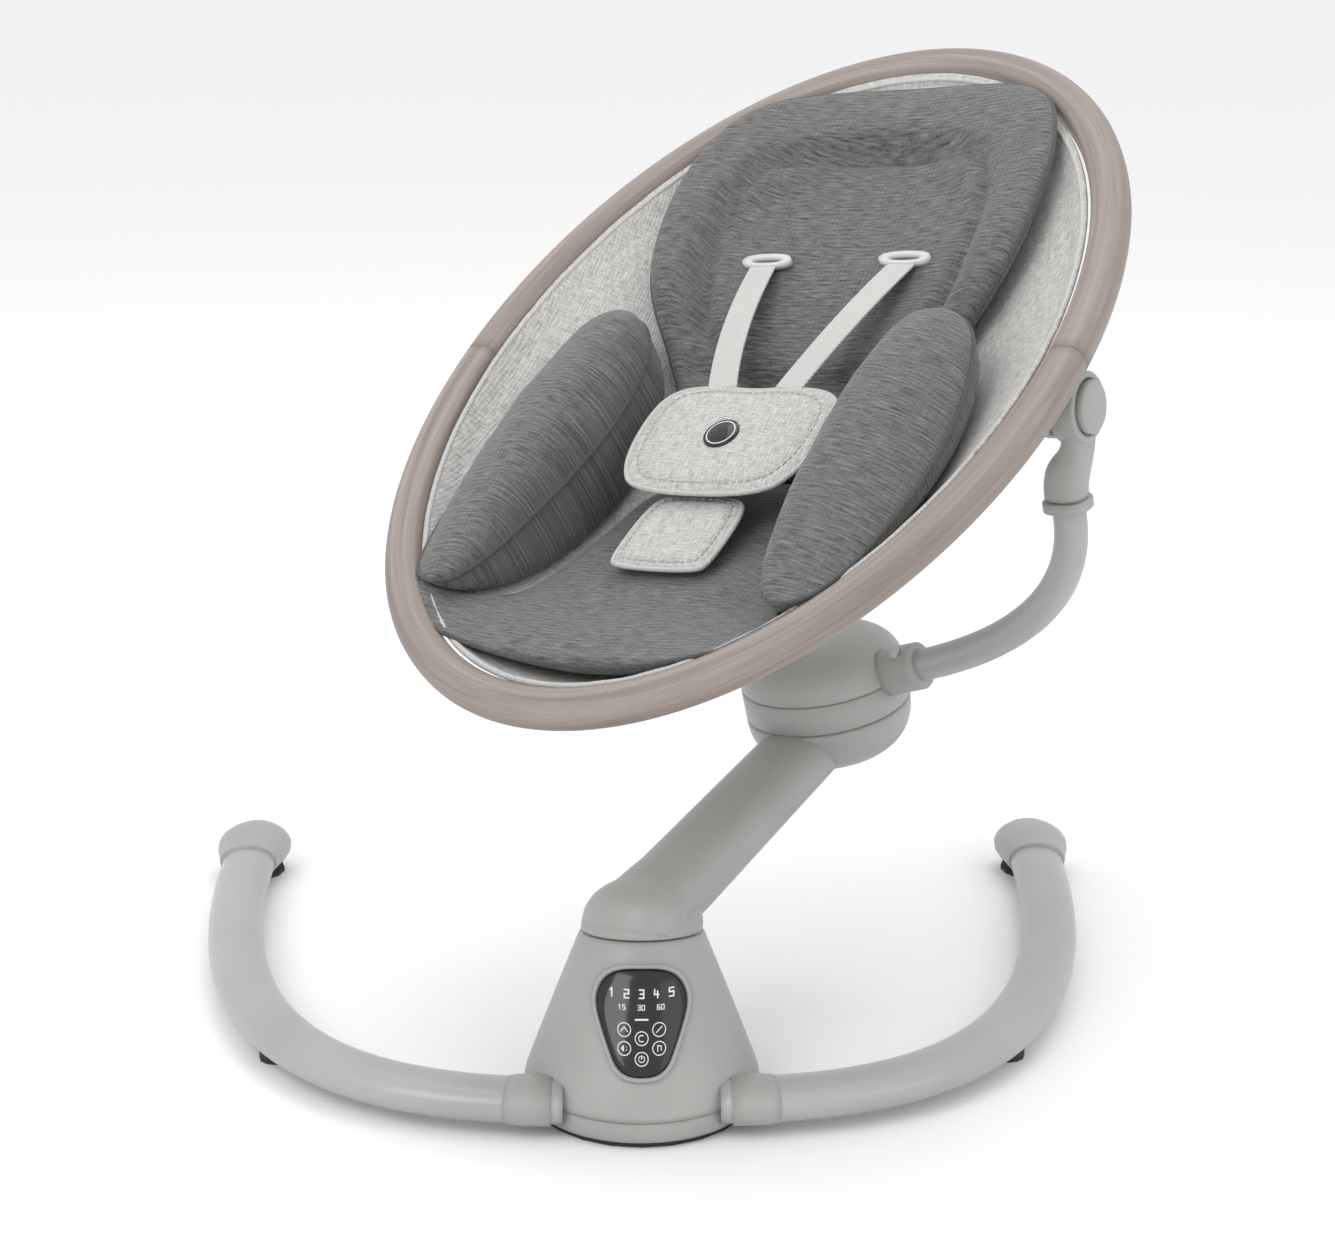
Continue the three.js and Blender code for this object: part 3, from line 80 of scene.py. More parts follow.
sweep = Matrix.Translation(SWING_AT) @ Matrix.Rotation(-SWEEP, 4, SWING_AXIS) @ Matrix.Translation(-SWING_AT)
hub_top = Matrix.Translation(SWING_AT) @ Matrix.Rotation(-TILT, 4, "X")
HOUSING_AT = (0, 249.5, 177)
PIVOT_IN_SEAT = Vector((0, -2, -35))
fork = sweep @ Matrix.Translation(HOUSING_AT) @ Matrix.Rotation(LEAN, 4, "X")
turn = sweep.to_3x3().to_4x4()
seat_turn = turn @ Matrix.Rotation(RECLINE, 4, "X")
seat = Matrix.Translation(RECLINE_AT - seat_turn @ PIVOT_IN_SEAT) @ seat_turn
still = Matrix.Identity(4)


# ------------------------------------------------------------------ materials
class Nodes:
    """A small hand for building one procedural material."""

    def __init__(self, name, roughness, metallic=0.0, sheen=0.0):
        self.material = bpy.data.materials.new(name)
        self.material.use_nodes = True
        self.tree = self.material.node_tree
        self.bsdf = self.tree.nodes["Principled BSDF"]
        self.bsdf.inputs["Roughness"].default_value = roughness
        self.bsdf.inputs["Metallic"].default_value = metallic
        self.bsdf.inputs["Sheen Weight"].default_value = sheen

    def add(self, kind, **values):
        node = self.tree.nodes.new(kind)
        for key, value in values.items():
            if key in node.inputs:
                node.inputs[key].default_value = value
            else:
                setattr(node, key, value)
        return node

    def link(self, a, b):
        self.tree.links.new(a, b)

    def coords(self, output="Object", scale=(1, 1, 1)):
        source = self.add("ShaderNodeTexCoord")
        mapping = self.add("ShaderNodeMapping")
        mapping.inputs["Scale"].default_value = scale
        self.link(source.outputs[output], mapping.inputs["Vector"])
        return mapping.outputs["Vector"]

    def noise(self, coords, scale, detail=3.0, roughness=0.5):
        node = self.add("ShaderNodeTexNoise", Scale=scale, Detail=detail, Roughness=roughness)
        self.link(coords, node.inputs["Vector"])
        return node.outputs["Fac"]

    def wave(self, coords, scale, axis="X", distortion=0.0):
        node = self.add("ShaderNodeTexWave", Scale=scale, Distortion=distortion)
        node.bands_direction = axis
        self.link(coords, node.inputs["Vector"])
        return node.outputs["Fac"]

    def ramp(self, factor, stops):
        node = self.add("ShaderNodeValToRGB")
        ramp = node.color_ramp
        for index, (position, color) in enumerate(stops):
            stop = ramp.elements[index] if index < 2 else ramp.elements.new(position)
            stop.position = position
            stop.color = (*color, 1)
        self.link(factor, node.inputs["Fac"])
        return node.outputs["Color"]

    def mix(self, a, b, factor=0.5, mode="MIX"):
        node = self.add("ShaderNodeMix", data_type="RGBA", blend_type=mode)
        if isinstance(factor, float):
            node.inputs[0].default_value = factor
        else:
            self.link(factor, node.inputs[0])
        self.link(a, node.inputs[6])
        self.link(b, node.inputs[7])
        return node.outputs[2]

    def math(self, operation, a, b):
        node = self.add("ShaderNodeMath", operation=operation)
        for index, value in enumerate((a, b)):
            if isinstance(value, (int, float)):
                node.inputs[index].default_value = value
            else:
                self.link(value, node.inputs[index])
        return node.outputs[0]

    def color(self, output):
        self.link(output, self.bsdf.inputs["Base Color"])

    def rough(self, factor, low, high):
        node = self.add("ShaderNodeMapRange")
        node.inputs["To Min"].default_value = low
        node.inputs["To Max"].default_value = high
        self.link(factor, node.inputs["Value"])
        self.link(node.outputs["Result"], self.bsdf.inputs["Roughness"])

    def bump(self, height, strength, distance):
        node = self.add("ShaderNodeBump", Strength=strength, Distance=distance)
        self.link(height, node.inputs["Height"])
        self.link(node.outputs["Normal"], self.bsdf.inputs["Normal"])


YARN_ROWS = 520 / 6.0


def moulded(name, base, roughness=0.42, metallic=0.0, grain=1500):
    """Moulded plastic, paint or metal: faint mottling and a fine grain."""
    m = Nodes(name, roughness, metallic)
    where = m.coords()
    cloud = m.noise(where, 14)
    dark = tuple(c * 0.94 for c in base)
    light = tuple(min(1, c * 1.05) for c in base)
    m.color(m.ramp(cloud, [(0.3, dark), (0.7, light)]))
    fine = m.noise(where, grain, 2)
    m.rough(fine, roughness - 0.05, roughness + 0.07)
    m.bump(fine, 0.12, 0.0001)
    return m.material


def melange(name, dark, light):
    """Cloth of mixed yarn: streaks along the rows of a knit or weave."""
    m = Nodes(name, 0.92, sheen=0.2)
    where = m.coords("UV")
    streak = m.noise(m.coords("UV", (80, 760, 1)), 1.0, 4, 0.7)
    speck = m.noise(where, 1300, 2)
    both = m.math("ADD", m.math("MULTIPLY", streak, 0.72), m.math("MULTIPLY", speck, 0.28))
    m.color(m.ramp(both, [(0.34, dark), (0.68, light)]))
    rows = m.wave(where, YARN_ROWS, "Y", 1.2)
    columns = m.wave(where, YARN_ROWS, "X", 1.2)
    cloth = m.math("MULTIPLY", rows, columns)
    m.bump(m.math("ADD", cloth, m.math("MULTIPLY", streak, 0.8)), 0.6, 0.0007)
    return m.material


def woven(name, dark, light):
    """Light cloth with slubs both ways, so it reads as a faint grid."""
    m = Nodes(name, 0.9, sheen=0.15)
    across = m.noise(m.coords("UV", (120, 760, 1)), 1.0, 3, 0.65)
    down = m.noise(m.coords("UV", (760, 120, 1)), 1.0, 3, 0.65)
    both = m.math("ADD", m.math("MULTIPLY", across, 0.5), m.math("MULTIPLY", down, 0.5))
    m.color(m.ramp(both, [(0.3, dark), (0.66, light)]))
    where = m.coords("UV")
    threads = m.math("ADD", m.wave(where, 150, "X", 1.0), m.wave(where, 150, "Y", 1.0))
    m.bump(m.math("ADD", threads, both), 0.4, 0.0005)
    return m.material


def wood_print(name):
    m = Nodes(name, 0.5)
    long = m.coords("UV", (3.2, 150, 1))
    grain = m.noise(long, 1.0, 6, 0.6)
    pores = m.noise(m.coords("UV", (14, 900, 1)), 1.0, 3, 0.6)
    both = m.math("ADD", m.math("MULTIPLY", grain, 0.72), m.math("MULTIPLY", pores, 0.28))
    m.color(m.ramp(both,
                   [(0.3, (0.17, 0.132, 0.115)), (0.5, (0.275, 0.228, 0.205)), (0.68, (0.37, 0.325, 0.30))]))
    m.rough(grain, 0.42, 0.58)
    m.bump(both, 0.25, 0.0003)
    return m.material


def herringbone(name):
    m = Nodes(name, 0.8, sheen=0.2)
    where = m.coords("UV")
    split = m.add("ShaderNodeSeparateXYZ")
    m.link(where, split.inputs[0])
    fold = m.math("PINGPONG", split.outputs[0], 0.005)
    ribs = m.math("SINE", m.math("MULTIPLY", m.math("ADD", fold, split.outputs[1]), 3200.0), 0)
    level = m.math("ADD", m.math("MULTIPLY", ribs, 0.5), 0.5)
    m.color(m.ramp(level, [(0.1, (0.42, 0.425, 0.41)), (0.8, (0.66, 0.67, 0.65))]))
    m.bump(level, 0.6, 0.0005)
    return m.material


GREY = moulded("grey plastic", (0.345, 0.35, 0.335))
PAINT = moulded("tube paint", (0.375, 0.385, 0.39), 0.33, 0.1, 2600)
RUBBER = moulded("rubber", (0.03, 0.03, 0.031), 0.8, 0.0, 900)
STEEL = moulded("steel", (0.5, 0.51, 0.52), 0.3, 1.0, 1200)
BLACK = moulded("black gloss", (0.012, 0.012, 0.014), 0.12, 0.0, 700)
BOARD = moulded("circuit board", (0.02, 0.12, 0.05), 0.5)
WHITE = moulded("printed white", (0.8, 0.81, 0.82), 0.5)
PLASTIC_WHITE = moulded("guide plastic", (0.6, 0.605, 0.59), 0.5)
DARK = melange("dark knit", (0.018, 0.018, 0.02), (0.25, 0.245, 0.24))
PIPING = melange("dark piping", (0.035, 0.035, 0.036), (0.13, 0.13, 0.128))
LIGHT = woven("light weave", (0.24, 0.235, 0.228), (0.7, 0.69, 0.67))
BINDING = woven("light binding", (0.4, 0.395, 0.385), (0.66, 0.655, 0.64))
WOOD = wood_print("wood grain print")
WEBBING = herringbone("webbing")
THREAD = moulded("thread", (0.5, 0.495, 0.48), 0.8)
BY_SLOT = {"grey_plastic": GREY, "tube_paint": PAINT, "wood_print": WOOD, "dark_fabric": DARK,
           "light_fabric": LIGHT,
           "webbing": PLASTIC_WHITE, "black_gloss": BLACK, "rubber": RUBBER, "steel": STEEL,
           "circuit_board": BOARD}

for entry in frame["record"]["subparts"]:
    shown = frame["nodes"][entry["node"]]
    shown.data.materials.clear()
    shown.data.materials.append(BY_SLOT[entry["material_slot"]])


# ------------------------------------------------------------------ making pieces
def piece(name, mesh_maker, material, body, place=still, replaced=(), uv=None, smooth=True):
    """One finished piece: built in its own frame, moved into the shared frame, riding on its body."""
    bm = bmesh.new()
    mesh_maker(bm)
    layer = bm.loops.layers.uv.verify() if uv else None
    if uv:
        for face in bm.faces:
            for loop in face.loops:
                loop[layer].uv = uv(loop.vert.co)
    for vert in bm.verts:
        vert.co = (place @ vert.co) * MM
    bmesh.ops.recalc_face_normals(bm, faces=bm.faces)
    for face in bm.faces:
        face.smooth = smooth
    mesh = bpy.data.meshes.new(name)
    bm.to_mesh(mesh)
    bm.free()
    mesh.materials.append(material)
    made = bpy.data.objects.new(name, mesh)
    bpy.context.scene.collection.objects.link(made)
    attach(made, body)
    if replaced:
        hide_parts(*replaced)
    return made


def rings(bm, loops, capped=True):
    """Faces between neighbouring loops of points, with a fan at each end."""
    made = [[bm.verts.new(point) for point in loop] for loop in loops]
    for a, b in zip(made, made[1:]):
        count = len(a)
        for i in range(count):
            k = (i + 1) % count
            bm.faces.new((a[i], a[k], b[k], b[i]))
    if capped:
        bm.faces.new(made[0][::-1])
        bm.faces.new(made[-1])
    return made


def lathe(profile, sides=96, shift=None):
    """A turned shape; shift may move each point after it is turned."""
    def make(bm):
        loops = []
        for radius, height in profile:
            loop = []
            for i in range(sides):
                angle = 2 * math.pi * i / sides
                point = Vector((radius * math.cos(angle), radius * math.sin(angle), height))
                loop.append(shift(point) if shift else point)
            loops.append(loop)
        rings(bm, loops)
    return make


def rounded(width, depth, power=2.0, sides=32):
    """An oval outline; a higher power makes it squarer."""
    outline = []
    for i in range(sides):
        angle = 2 * math.pi * i / sides
        c, s = math.cos(angle), math.sin(angle)
        outline.append((math.copysign(abs(c) ** (2 / power), c) * width / 2,
                        math.copysign(abs(s) ** (2 / power), s) * depth / 2))
    return outline


def swept(points, outline, across, scale=None, loop=False):
    """A section carried along a path; across is the direction that the section's first axis keeps."""
    def make(bm):
        loops = []
        last = len(points) - 1
        for i, point in enumerate(points):
            ahead = points[(i + 1) % len(points)] if loop else points[min(i + 1, last)]
            behind = points[i - 1] if loop else points[max(i - 1, 0)]
            run = (ahead - behind).normalized()
            side = across(point) if callable(across) else across
            second = run.cross(side).normalized()
            first = second.cross(run)
            grow = scale(i / last) if scale else (1, 1)
            loops.append([point + first * (u * grow[0]) + second * (v * grow[1]) for u, v in outline])
        if loop:
            loops.append(loops[0])
        rings(bm, loops, capped=not loop)
        bmesh.ops.remove_doubles(bm, verts=bm.verts, dist=1e-4)
    return make


def bezier(a, b, c, d, steps):
    """Points along a curve from a to d that b and c pull."""
    made = []
    for i in range(steps + 1):
        t = i / steps
        made.append(a * (1 - t) ** 3 + b * 3 * t * (1 - t) ** 2 + c * 3 * t * t * (1 - t) + d * t ** 3)
    return made


def step(low, high, value):
    """0 below low and 1 above high, with a smooth rise between."""
    t = min(1, max(0, (value - low) / (high - low)))
    return t * t * (3 - 2 * t)


# ------------------------------------------------------------------ hub
HUB_FOOT = 18
HUB_RISE = 81
HUB_RADIUS = 71
HUB_TAPER = 33.5
HUB_SETBACK = 26.5


def up_hub(z):
    """How far up the hub a height is: 0 at its foot, 1 at its top."""
    return max(0, (z - HUB_FOOT) / HUB_RISE)


def hub_radius(z):
    return HUB_RADIUS - HUB_TAPER * up_hub(z) ** 1.06


def hub_back(z):
    """How far back the hub's middle is at a height."""
    return HUB_SETBACK * up_hub(z) ** 1.25


def hub_shift(point):
    """Leans the turned hub back and tips its top."""
    tip = point.y * math.tan(TILT) * up_hub(point.z) ** 2
    return Vector((point.x, point.y + hub_back(point.z), point.z - tip))


hub_levels = [18.2] + [HUB_FOOT + HUB_RISE * i / 24 for i in range(1, 24)] + [97.6]
hub_side = [(hub_radius(z) - (0.5 if z < 19 else 0), z) for z in hub_levels]
hub_profile = [(55, 18.2)] + hub_side + [(37, 98.6), (36, 98.9), (12, 98.9)]
piece("hub_shell", lathe(hub_profile, 128, hub_shift), GREY, "base", replaced=("hub_cover",))
skirt_profile = [(40, 3.2), (64, 3.2), (67.5, 4.4), (69, 7), (69.6, 16.6), (69, 17.6), (50, 17.6)]
piece("hub_skirt", lathe(skirt_profile, 128), GREY, "base", replaced=("hub_floor",))


def on_hub(across, up, proud):
    """A point of the panel, laid on the front of the hub and raised off it."""
    z = 67 + up * 0.9
    level = z
    for _ in range(12):
        radius = hub_radius(level)
        deep = math.sqrt(max(1, radius * radius - across * across))
        level = z - deep * math.tan(TILT) * up_hub(level) ** 2
    normal = Vector((across / radius, -deep / radius, 0.45)).normalized()
    return Vector((across, hub_back(level) - deep, z)) + normal * proud


def panel_edge(grow, count=96):
    """The panel's outline: a broad rounded top, a drawn-in waist and a round foot."""
    made = []
    for i in range(count):
        angle = 2 * math.pi * i / count
        c, s = math.cos(angle), math.sin(angle)
        up = math.copysign(abs(s) ** 0.72, s) * (29 + grow)
        wide = 19.5 + 7.5 * step(-20, 14, up)
        made.append((math.copysign(abs(c) ** 0.72, c) * (wide + grow), up))
    return made


def panel_slab(inner, outer, low, high):
    """A plate that follows the hub, or a rim where it has an inner edge."""
    def make(bm):
        if inner is None:
            loops = [[on_hub(x * 0.02, y * 0.02, high) for x, y in outer]]
            loops += [[on_hub(x * f, y * f, high) for x, y in outer] for f in (0.2, 0.4, 0.6, 0.8, 0.96)]
            loops += [[on_hub(x, y, high - 0.5) for x, y in outer], [on_hub(x, y, low) for x, y in outer]]
            rings(bm, loops)
        else:
            loops = [[on_hub(x, y, h) for x, y in edge] for edge, h in (
                (inner, low), (inner, high - 0.5), (inner, high), (outer, high), (outer, high - 0.8),
                        (outer, low))]
            rings(bm, loops + [loops[0]], capped=False)
            bmesh.ops.remove_doubles(bm, verts=bm.verts, dist=1e-4)
    return make


piece("panel_glass", panel_slab(None, panel_edge(0), -1.5, 1.0), BLACK, "base",
      replaced=("control_panel",))
piece("panel_rim", panel_slab(panel_edge(0.4), panel_edge(2.6), -1.5, 1.9), GREY, "base",
      replaced=("panel_bezel",))

DIGIT = {
    "0": [[(0, 0), (1, 0), (1, 1), (0, 1), (0, 0)]], "1": [[(0.2, 0.8), (0.55, 1), (0.55, 0)]],
    "2": [[(0, 1), (1, 1), (1, 0.5), (0, 0.5), (0, 0), (1, 0)]],
         "3": [[(0, 1), (1, 1), (1, 0), (0, 0)], [(0.2, 0.5), (1, 0.5)]],
    "4": [[(0.1, 1), (0, 0.4), (1, 0.4)], [(0.75, 0.8), (0.75, 0)]],
         "5": [[(1, 1), (0, 1), (0, 0.55), (1, 0.55), (1, 0), (0, 0)]],
    "6": [[(1, 1), (0, 1), (0, 0), (1, 0), (1, 0.5), (0, 0.5)]],
}


def circle(x, y, radius, start=0.0, end=360.0, count=28):
    angles = [math.radians(start + (end - start) * i / count) for i in range(count + 1)]
    return [(x + radius * math.cos(a), y + radius * math.sin(a)) for a in angles]


strokes = []
for index, text in enumerate("12345"):
    for line in DIGIT[text]:
        strokes.append(([(-18.5 + index * 8.6 + x * 2.5, 13.5 + y * 4.4) for x, y in line], 0.75))
for index, text in enumerate(("15", "30", "60")):
    for place, digit in enumerate(text):
        for line in DIGIT[digit]:
            strokes.append(([(-13.4 + index * 11.2 + place * 2.4 + x * 1.5, 7.2 + y * 2.5)
                             for x, y in line], 0.45))
strokes.append(([(-3.5, 2), (3.5, 2)], 0.9))
for x, y in ((-10, -3.5), (10, -3.5), (0, -8), (-10, -13.5), (10, -13.5), (0, -19)):
    strokes.append((circle(x, y, 3.7), 0.5))
strokes += [([(-12, -4.5), (-10, -2), (-8, -4.5)], 0.5), ([(8.4, -5), (11.6, -2)], 0.5),
            (circle(0, -8, 1.7, 60, 300), 0.6),
            ([(-11.5, -13.5), (-10.4, -12.2), (-10.4, -14.8), (-11.5, -13.5)], 0.5),
            (circle(-9.6, -13.5, 1.2, -60, 60), 0.4),
            ([(9.2, -15), (9.2, -12), (11.2, -12.4), (11.2, -14.6)], 0.5),
            (circle(0, -19, 1.7, 120, 420), 0.5), ([(0, -17), (0, -19)], 0.5)]


def printed(bm):
    """Raised strokes of the panel's numbers and symbols."""
    for line, width in strokes:
        for (ax, ay), (bx, by) in zip(line, line[1:]):
            length = math.hypot(bx - ax, by - ay) or 1
            ex, ey = (bx - ax) / length * width * 0.4, (by - ay) / length * width * 0.4
            nx, ny = -(by - ay) / length * width / 2, (bx - ax) / length * width / 2
            corners = [(ax - ex + nx, ay - ey + ny), (ax - ex - nx, ay - ey - ny),
                       (bx + ex - nx, by + ey - ny), (bx + ex + nx, by + ey + ny)]
            low = [bm.verts.new(on_hub(x, y, 1.02)) for x, y in corners]
            high = [bm.verts.new(on_hub(x, y, 1.18)) for x, y in corners]
            bm.faces.new(high)
            bm.faces.new(low[::-1])
            for i in range(4):
                k = (i + 1) % 4
                bm.faces.new((low[i], low[k], high[k], high[i]))


piece("panel_symbols", printed, WHITE, "base", smooth=False)

# ------------------------------------------------------------------ floor legs
LEG_SPAN = 285
LEG_LEVEL = 19
UP = Vector((0, 0, 1))
CAP_SECTIONS = ((346, 0.99), (346.6, 1.03), (349, 1.06), (360, 1.16), (370, 1.28), (380, 1.34),
                (388, 1.31), (395, 1.18), (400, 0.98), (404, 0.68), (406, 0.3))

for side, prefix in ((1, "right"), (-1, "left")):
    corners = [(46, -41), (212, -41), (LEG_SPAN, 88), (LEG_SPAN, 378)]
    path = bezier(*[Vector((side * x, y, LEG_LEVEL)) for x, y in corners], 72)
    piece(prefix + "_leg_tube", swept(path, rounded(24, 37, 2.15, 36), Vector((0, 0, 1))), PAINT, "base",
          replaced=(prefix + "_leg",))

    def cap_loops(bm, side=side):
        loops = []
        for y, f in CAP_SECTIONS:
            outline = rounded(39.5, 26.5, 2.1, 40)
            loops.append([Vector((side * LEG_SPAN + u * f, y, 20 + v * (0.62 + 0.38 * f)))
                          for u, v in outline])
        rings(bm, loops)
    piece(prefix + "_leg_ball", cap_loops, GREY, "base", replaced=(prefix + "_leg_cap",))

    def root(bm, side=side):
        loops = []
        for i, f in ((1, 1.1), (3, 1.1), (4, 1.09), (5, 1.02)):
            point = path[i]
            run = (path[i + 1] - path[i - 1]).normalized()
            out = UP.cross(run)
            loops.append([point + UP * u * f + out * v * f for u, v in rounded(24, 37, 2.2, 36)])
        rings(bm, loops)
    piece(prefix + "_leg_socket", root, GREY, "base")

# ------------------------------------------------------------------ stem and upper housing
STEM_END = Vector((0, 225, 157.2))
STEM_BEND_Y = 63.2
STEM_SLOPE = math.tan(math.radians(14.5))
bend = Vector((0, STEM_BEND_Y, 157.2 - (225 - STEM_BEND_Y) * STEM_SLOPE))
lift = SWING_AT + SWING_AXIS * 10
stem_line = bezier(SWING_AT + SWING_AXIS * 2, lift, bend.lerp(lift, 0.45), bend, 20)
stem_line += [bend.lerp(STEM_END, i / 16) for i in range(1, 17)]


def stem_size(t):
    """The stem's width and depth along its length, thickest at its foot."""
    foot = 1 + 0.2 * (1 - step(0, 0.35, t))
    return (foot * (1 - 0.13 * t), (1 + 0.5 * (1 - step(0, 0.3, t))) * (1 - 0.15 * t))


stem_points = [SWING_AT + SWING_AXIS * 0.8] + stem_line[1:]
piece("stem_shell", swept(stem_points, rounded(60, 45, 2.3, 48), Vector((1, 0, 0)), stem_size), GREY,
      "swing_arm", sweep,
      replaced=("stem",))
collar = [(30, 0.8), (36.2, 0.8), (36.8, 1.6), (36.7, 4.2), (35.4, 7.5), (32, 13), (25, 19), (12, 24)]
piece("stem_collar", lathe(collar, 96, lambda p: p + Vector((0, max(0, p.z - 3) * 0.55, 0))), GREY,
      "swing_arm", sweep @ hub_top)
HOUSING_RADIUS = 54.5


def housing_side(angles, level, rise):
    """One rounded half of the housing's side, from its rim to near its middle."""
    made = []
    for angle in angles:
        a = math.radians(angle)
        made.append((HOUSING_RADIUS * math.cos(a) ** 0.55, level + rise * math.sin(a) ** 0.9))
    return made


bowl = [(54.3, -0.6)] + housing_side(range(4, 88, 6), 0, -36) + [(3, -36)]
piece("housing_bowl", lathe([(20, -0.6)] + bowl, 96), GREY, "swing_arm", fork)
band = [(20, 0.4), (53.8, 0.4), (54.5, 1.1), (54.5, 19.2), (53.8, 19.8), (20, 19.8)]
piece("housing_band", lathe(band, 96), GREY, "swing_arm", fork,
      replaced=("housing_lower",))
dome = housing_side(range(2, 89, 5), 20.6, 27.5) + [(2, 48.2)]
piece("housing_dome", lathe([(20, 20.4), (54, 20.4)] + dome, 96), GREY, "swing_arm", fork,
      replaced=("housing_top",))

# ------------------------------------------------------------------ fork
RISE = math.radians(15)
FORK_SPAN = 199
ARM_SPAN = 213.5
ARM_HUB = [(6, -8.4), (20.2, -8.4), (21, -7.4), (21, 7.2), (20.2, 8.4), (16.8, 8.4), (16.8, 2.4), (6, 2.4)]
PRESS_DISC = [(2, 6), (16, 6), (16, 10.9), (15.4, 12), (14.3, 12.5), (2, 12.5)]


def arm_size(t):
    """The arm widens and thins towards its hub."""
    return (1 + 0.25 * step(0.55, 1, t), 1 - 0.38 * step(0.2, 0.9, t))


for side, prefix in ((1, "right"), (-1, "left")):
    along = Vector((side * math.cos(RISE), 0, math.sin(RISE)))
    mouth = Vector((side * 77, 0, 32.5))
    low, top = Vector((side * FORK_SPAN, 0, 84)), Vector((side * FORK_SPAN, 0, 140))
    line = [mouth - along * 26, mouth - along * 10] + bezier(mouth, mouth + along * 70, low, top,
                        44) + [Vector((side * FORK_SPAN, 0, 158))]
    piece(prefix + "_fork_pipe", swept(line, rounded(18, 21, 2.0, 32), Vector((0, 1, 0))), PAINT,
          "swing_arm", fork,
          replaced=(prefix + "_fork_tube",))
    sleeve = [mouth - along * f for f in (34, 20, 3, 1, 0)]
    piece(prefix + "_socket_sleeve",
          swept(sleeve, rounded(28, 31, 2.1, 36), Vector((0, 1, 0)),
                lambda t: (1, 1) if t < 0.9 else (0.95, 0.95)), GREY,
          "swing_arm", fork)
    arm_line = bezier(Vector((side * FORK_SPAN, 0, 152)), Vector((side * FORK_SPAN, 0, 176)),
                      Vector((side * ARM_SPAN, 0, 170)), Vector((side * ARM_SPAN, 0, 206)), 24)
    piece(prefix + "_arm_shell", swept(arm_line, rounded(23, 26, 2.6, 36), Vector((0, 1, 0)), arm_size),
          GREY, "swing_arm", fork, replaced=(prefix + "_arm",))
    hub = fork @ Matrix.Translation((side * ARM_SPAN, 0, 209)) @ Matrix.Rotation(side * math.pi / 2, 4, "Y")
    piece(prefix + "_arm_hub", lathe(ARM_HUB, 72), GREY,
          "swing_arm", hub)
    piece(prefix + "_press_disc", lathe(PRESS_DISC, 72), GREY,
          prefix + "_recline", hub, replaced=(prefix + "_recline_button",))
    cuff = [Vector((side * FORK_SPAN, 0, z)) for z in (144.2, 144.8, 147.5, 150.4, 151)]
    piece(prefix + "_cuff",
          swept(cuff, rounded(26, 29, 2.8, 36), Vector((0, 1, 0)),
                lambda t: (0.96, 0.96) if t in (0, 1) else (1, 1)), GREY,
          "swing_arm", fork, replaced=(prefix + "_arm_collar",))

# ------------------------------------------------------------------ seat ring
RX, RY = 219, 293
RING_GAP = 0.0012
RING_STEPS = 110
RING_HALVES = (("ring_head_half", 0.0, "ring_upper_half"), ("ring_foot_half", math.pi, "ring_lower_half"))


def ring_uv(co):
    """Runs the grain along the ring, and unrolls its section."""
    angle = math.atan2(co.y / RY, co.x / RX)
    off = math.hypot(co.x, co.y) - math.hypot(RX * math.cos(angle), RY * math.sin(angle))
    return (angle * 0.256, off * MM + co.z * MM * 0.7)


for name, first, node in RING_HALVES:
    turns = [first + RING_GAP + i / RING_STEPS * (math.pi - 2 * RING_GAP) for i in range(RING_STEPS + 1)]
    line = [Vector((RX * math.cos(turn_at), RY * math.sin(turn_at), 0)) for turn_at in turns]
    piece(name, swept(line, rounded(21, 24, 2.7, 36), Vector((0, 0, 1))), WOOD, "seat", seat,
          replaced=(node,), uv=ring_uv)


# ------------------------------------------------------------------ liner
LX, LY = 205.5, 279.5
BOWL_DEPTH = 100
BOWL_SHIFT = 70
HEM_SHARE = 0.945


def liner_at(share, angle):
    """A point of the hanging cloth: share 0 is its lowest point, 1 its edge."""
    x, y = LX * share * math.cos(angle), LY * share * math.sin(angle) - BOWL_SHIFT * (1 - share * share)
    broad = 1.6 * noise.noise(Vector((x * 0.02, y * 0.013, 3))) * (1 - share ** 6)
    ripple = broad + 0.5 * noise.noise(Vector((x * 0.07, y * 0.05, 9)))
    hem = 0.9 * math.exp(-((share - HEM_SHARE) / 0.008) ** 2)
    level = -BOWL_DEPTH * (1 - share ** 1.5) + ripple - hem
    return Vector((x, y, level + 3.5 * step(0.95, 1, share)))


def liner_level(x, y):
    """The cloth's height under a point of the seat."""
    share = 0.5
    for _ in range(24):
        share += 0.5 * (math.hypot(x / LX, (y + BOWL_SHIFT * (1 - share * share)) / LY) - share)
    return -BOWL_DEPTH * (1 - min(1, share) ** 1.5)


def liner_mesh(bm):
    shares = [0.004 + 0.996 * (i / 64) ** 0.9 for i in range(65)]
    loops = [[liner_at(share, 2 * math.pi * i / 160) for i in range(160)] for share in shares]
    made = rings(bm, loops, capped=False)
    bm.faces.new(made[0][::-1])


def flat_uv(co):
    return (co.x * MM, co.y * MM * 1.05)


liner = piece("seat_fabric_liner", liner_mesh, LIGHT, "seat", seat,
              replaced=("seat_liner",), uv=flat_uv)
thick = liner.modifiers.new("thickness", "SOLIDIFY")
thick.thickness = 0.0022
thick.offset = -1


def edge_cord(name, points, radius, material):
    """A round cord sewn along a closed edge."""
    outline = rounded(2 * radius, 2 * radius, 2, 10)
    return piece(name, swept(points, outline, Vector((0, 0, 1)), loop=True), material, "seat",
                 seat,
                 uv=lambda co: (co.x * MM * 2, co.y * MM * 2))


edge_cord("liner_edge_cord",
          [liner_at(0.988, 2 * math.pi * i / 180) + Vector((0, 0, 1.6)) for i in range(180)], 1.9, BINDING)


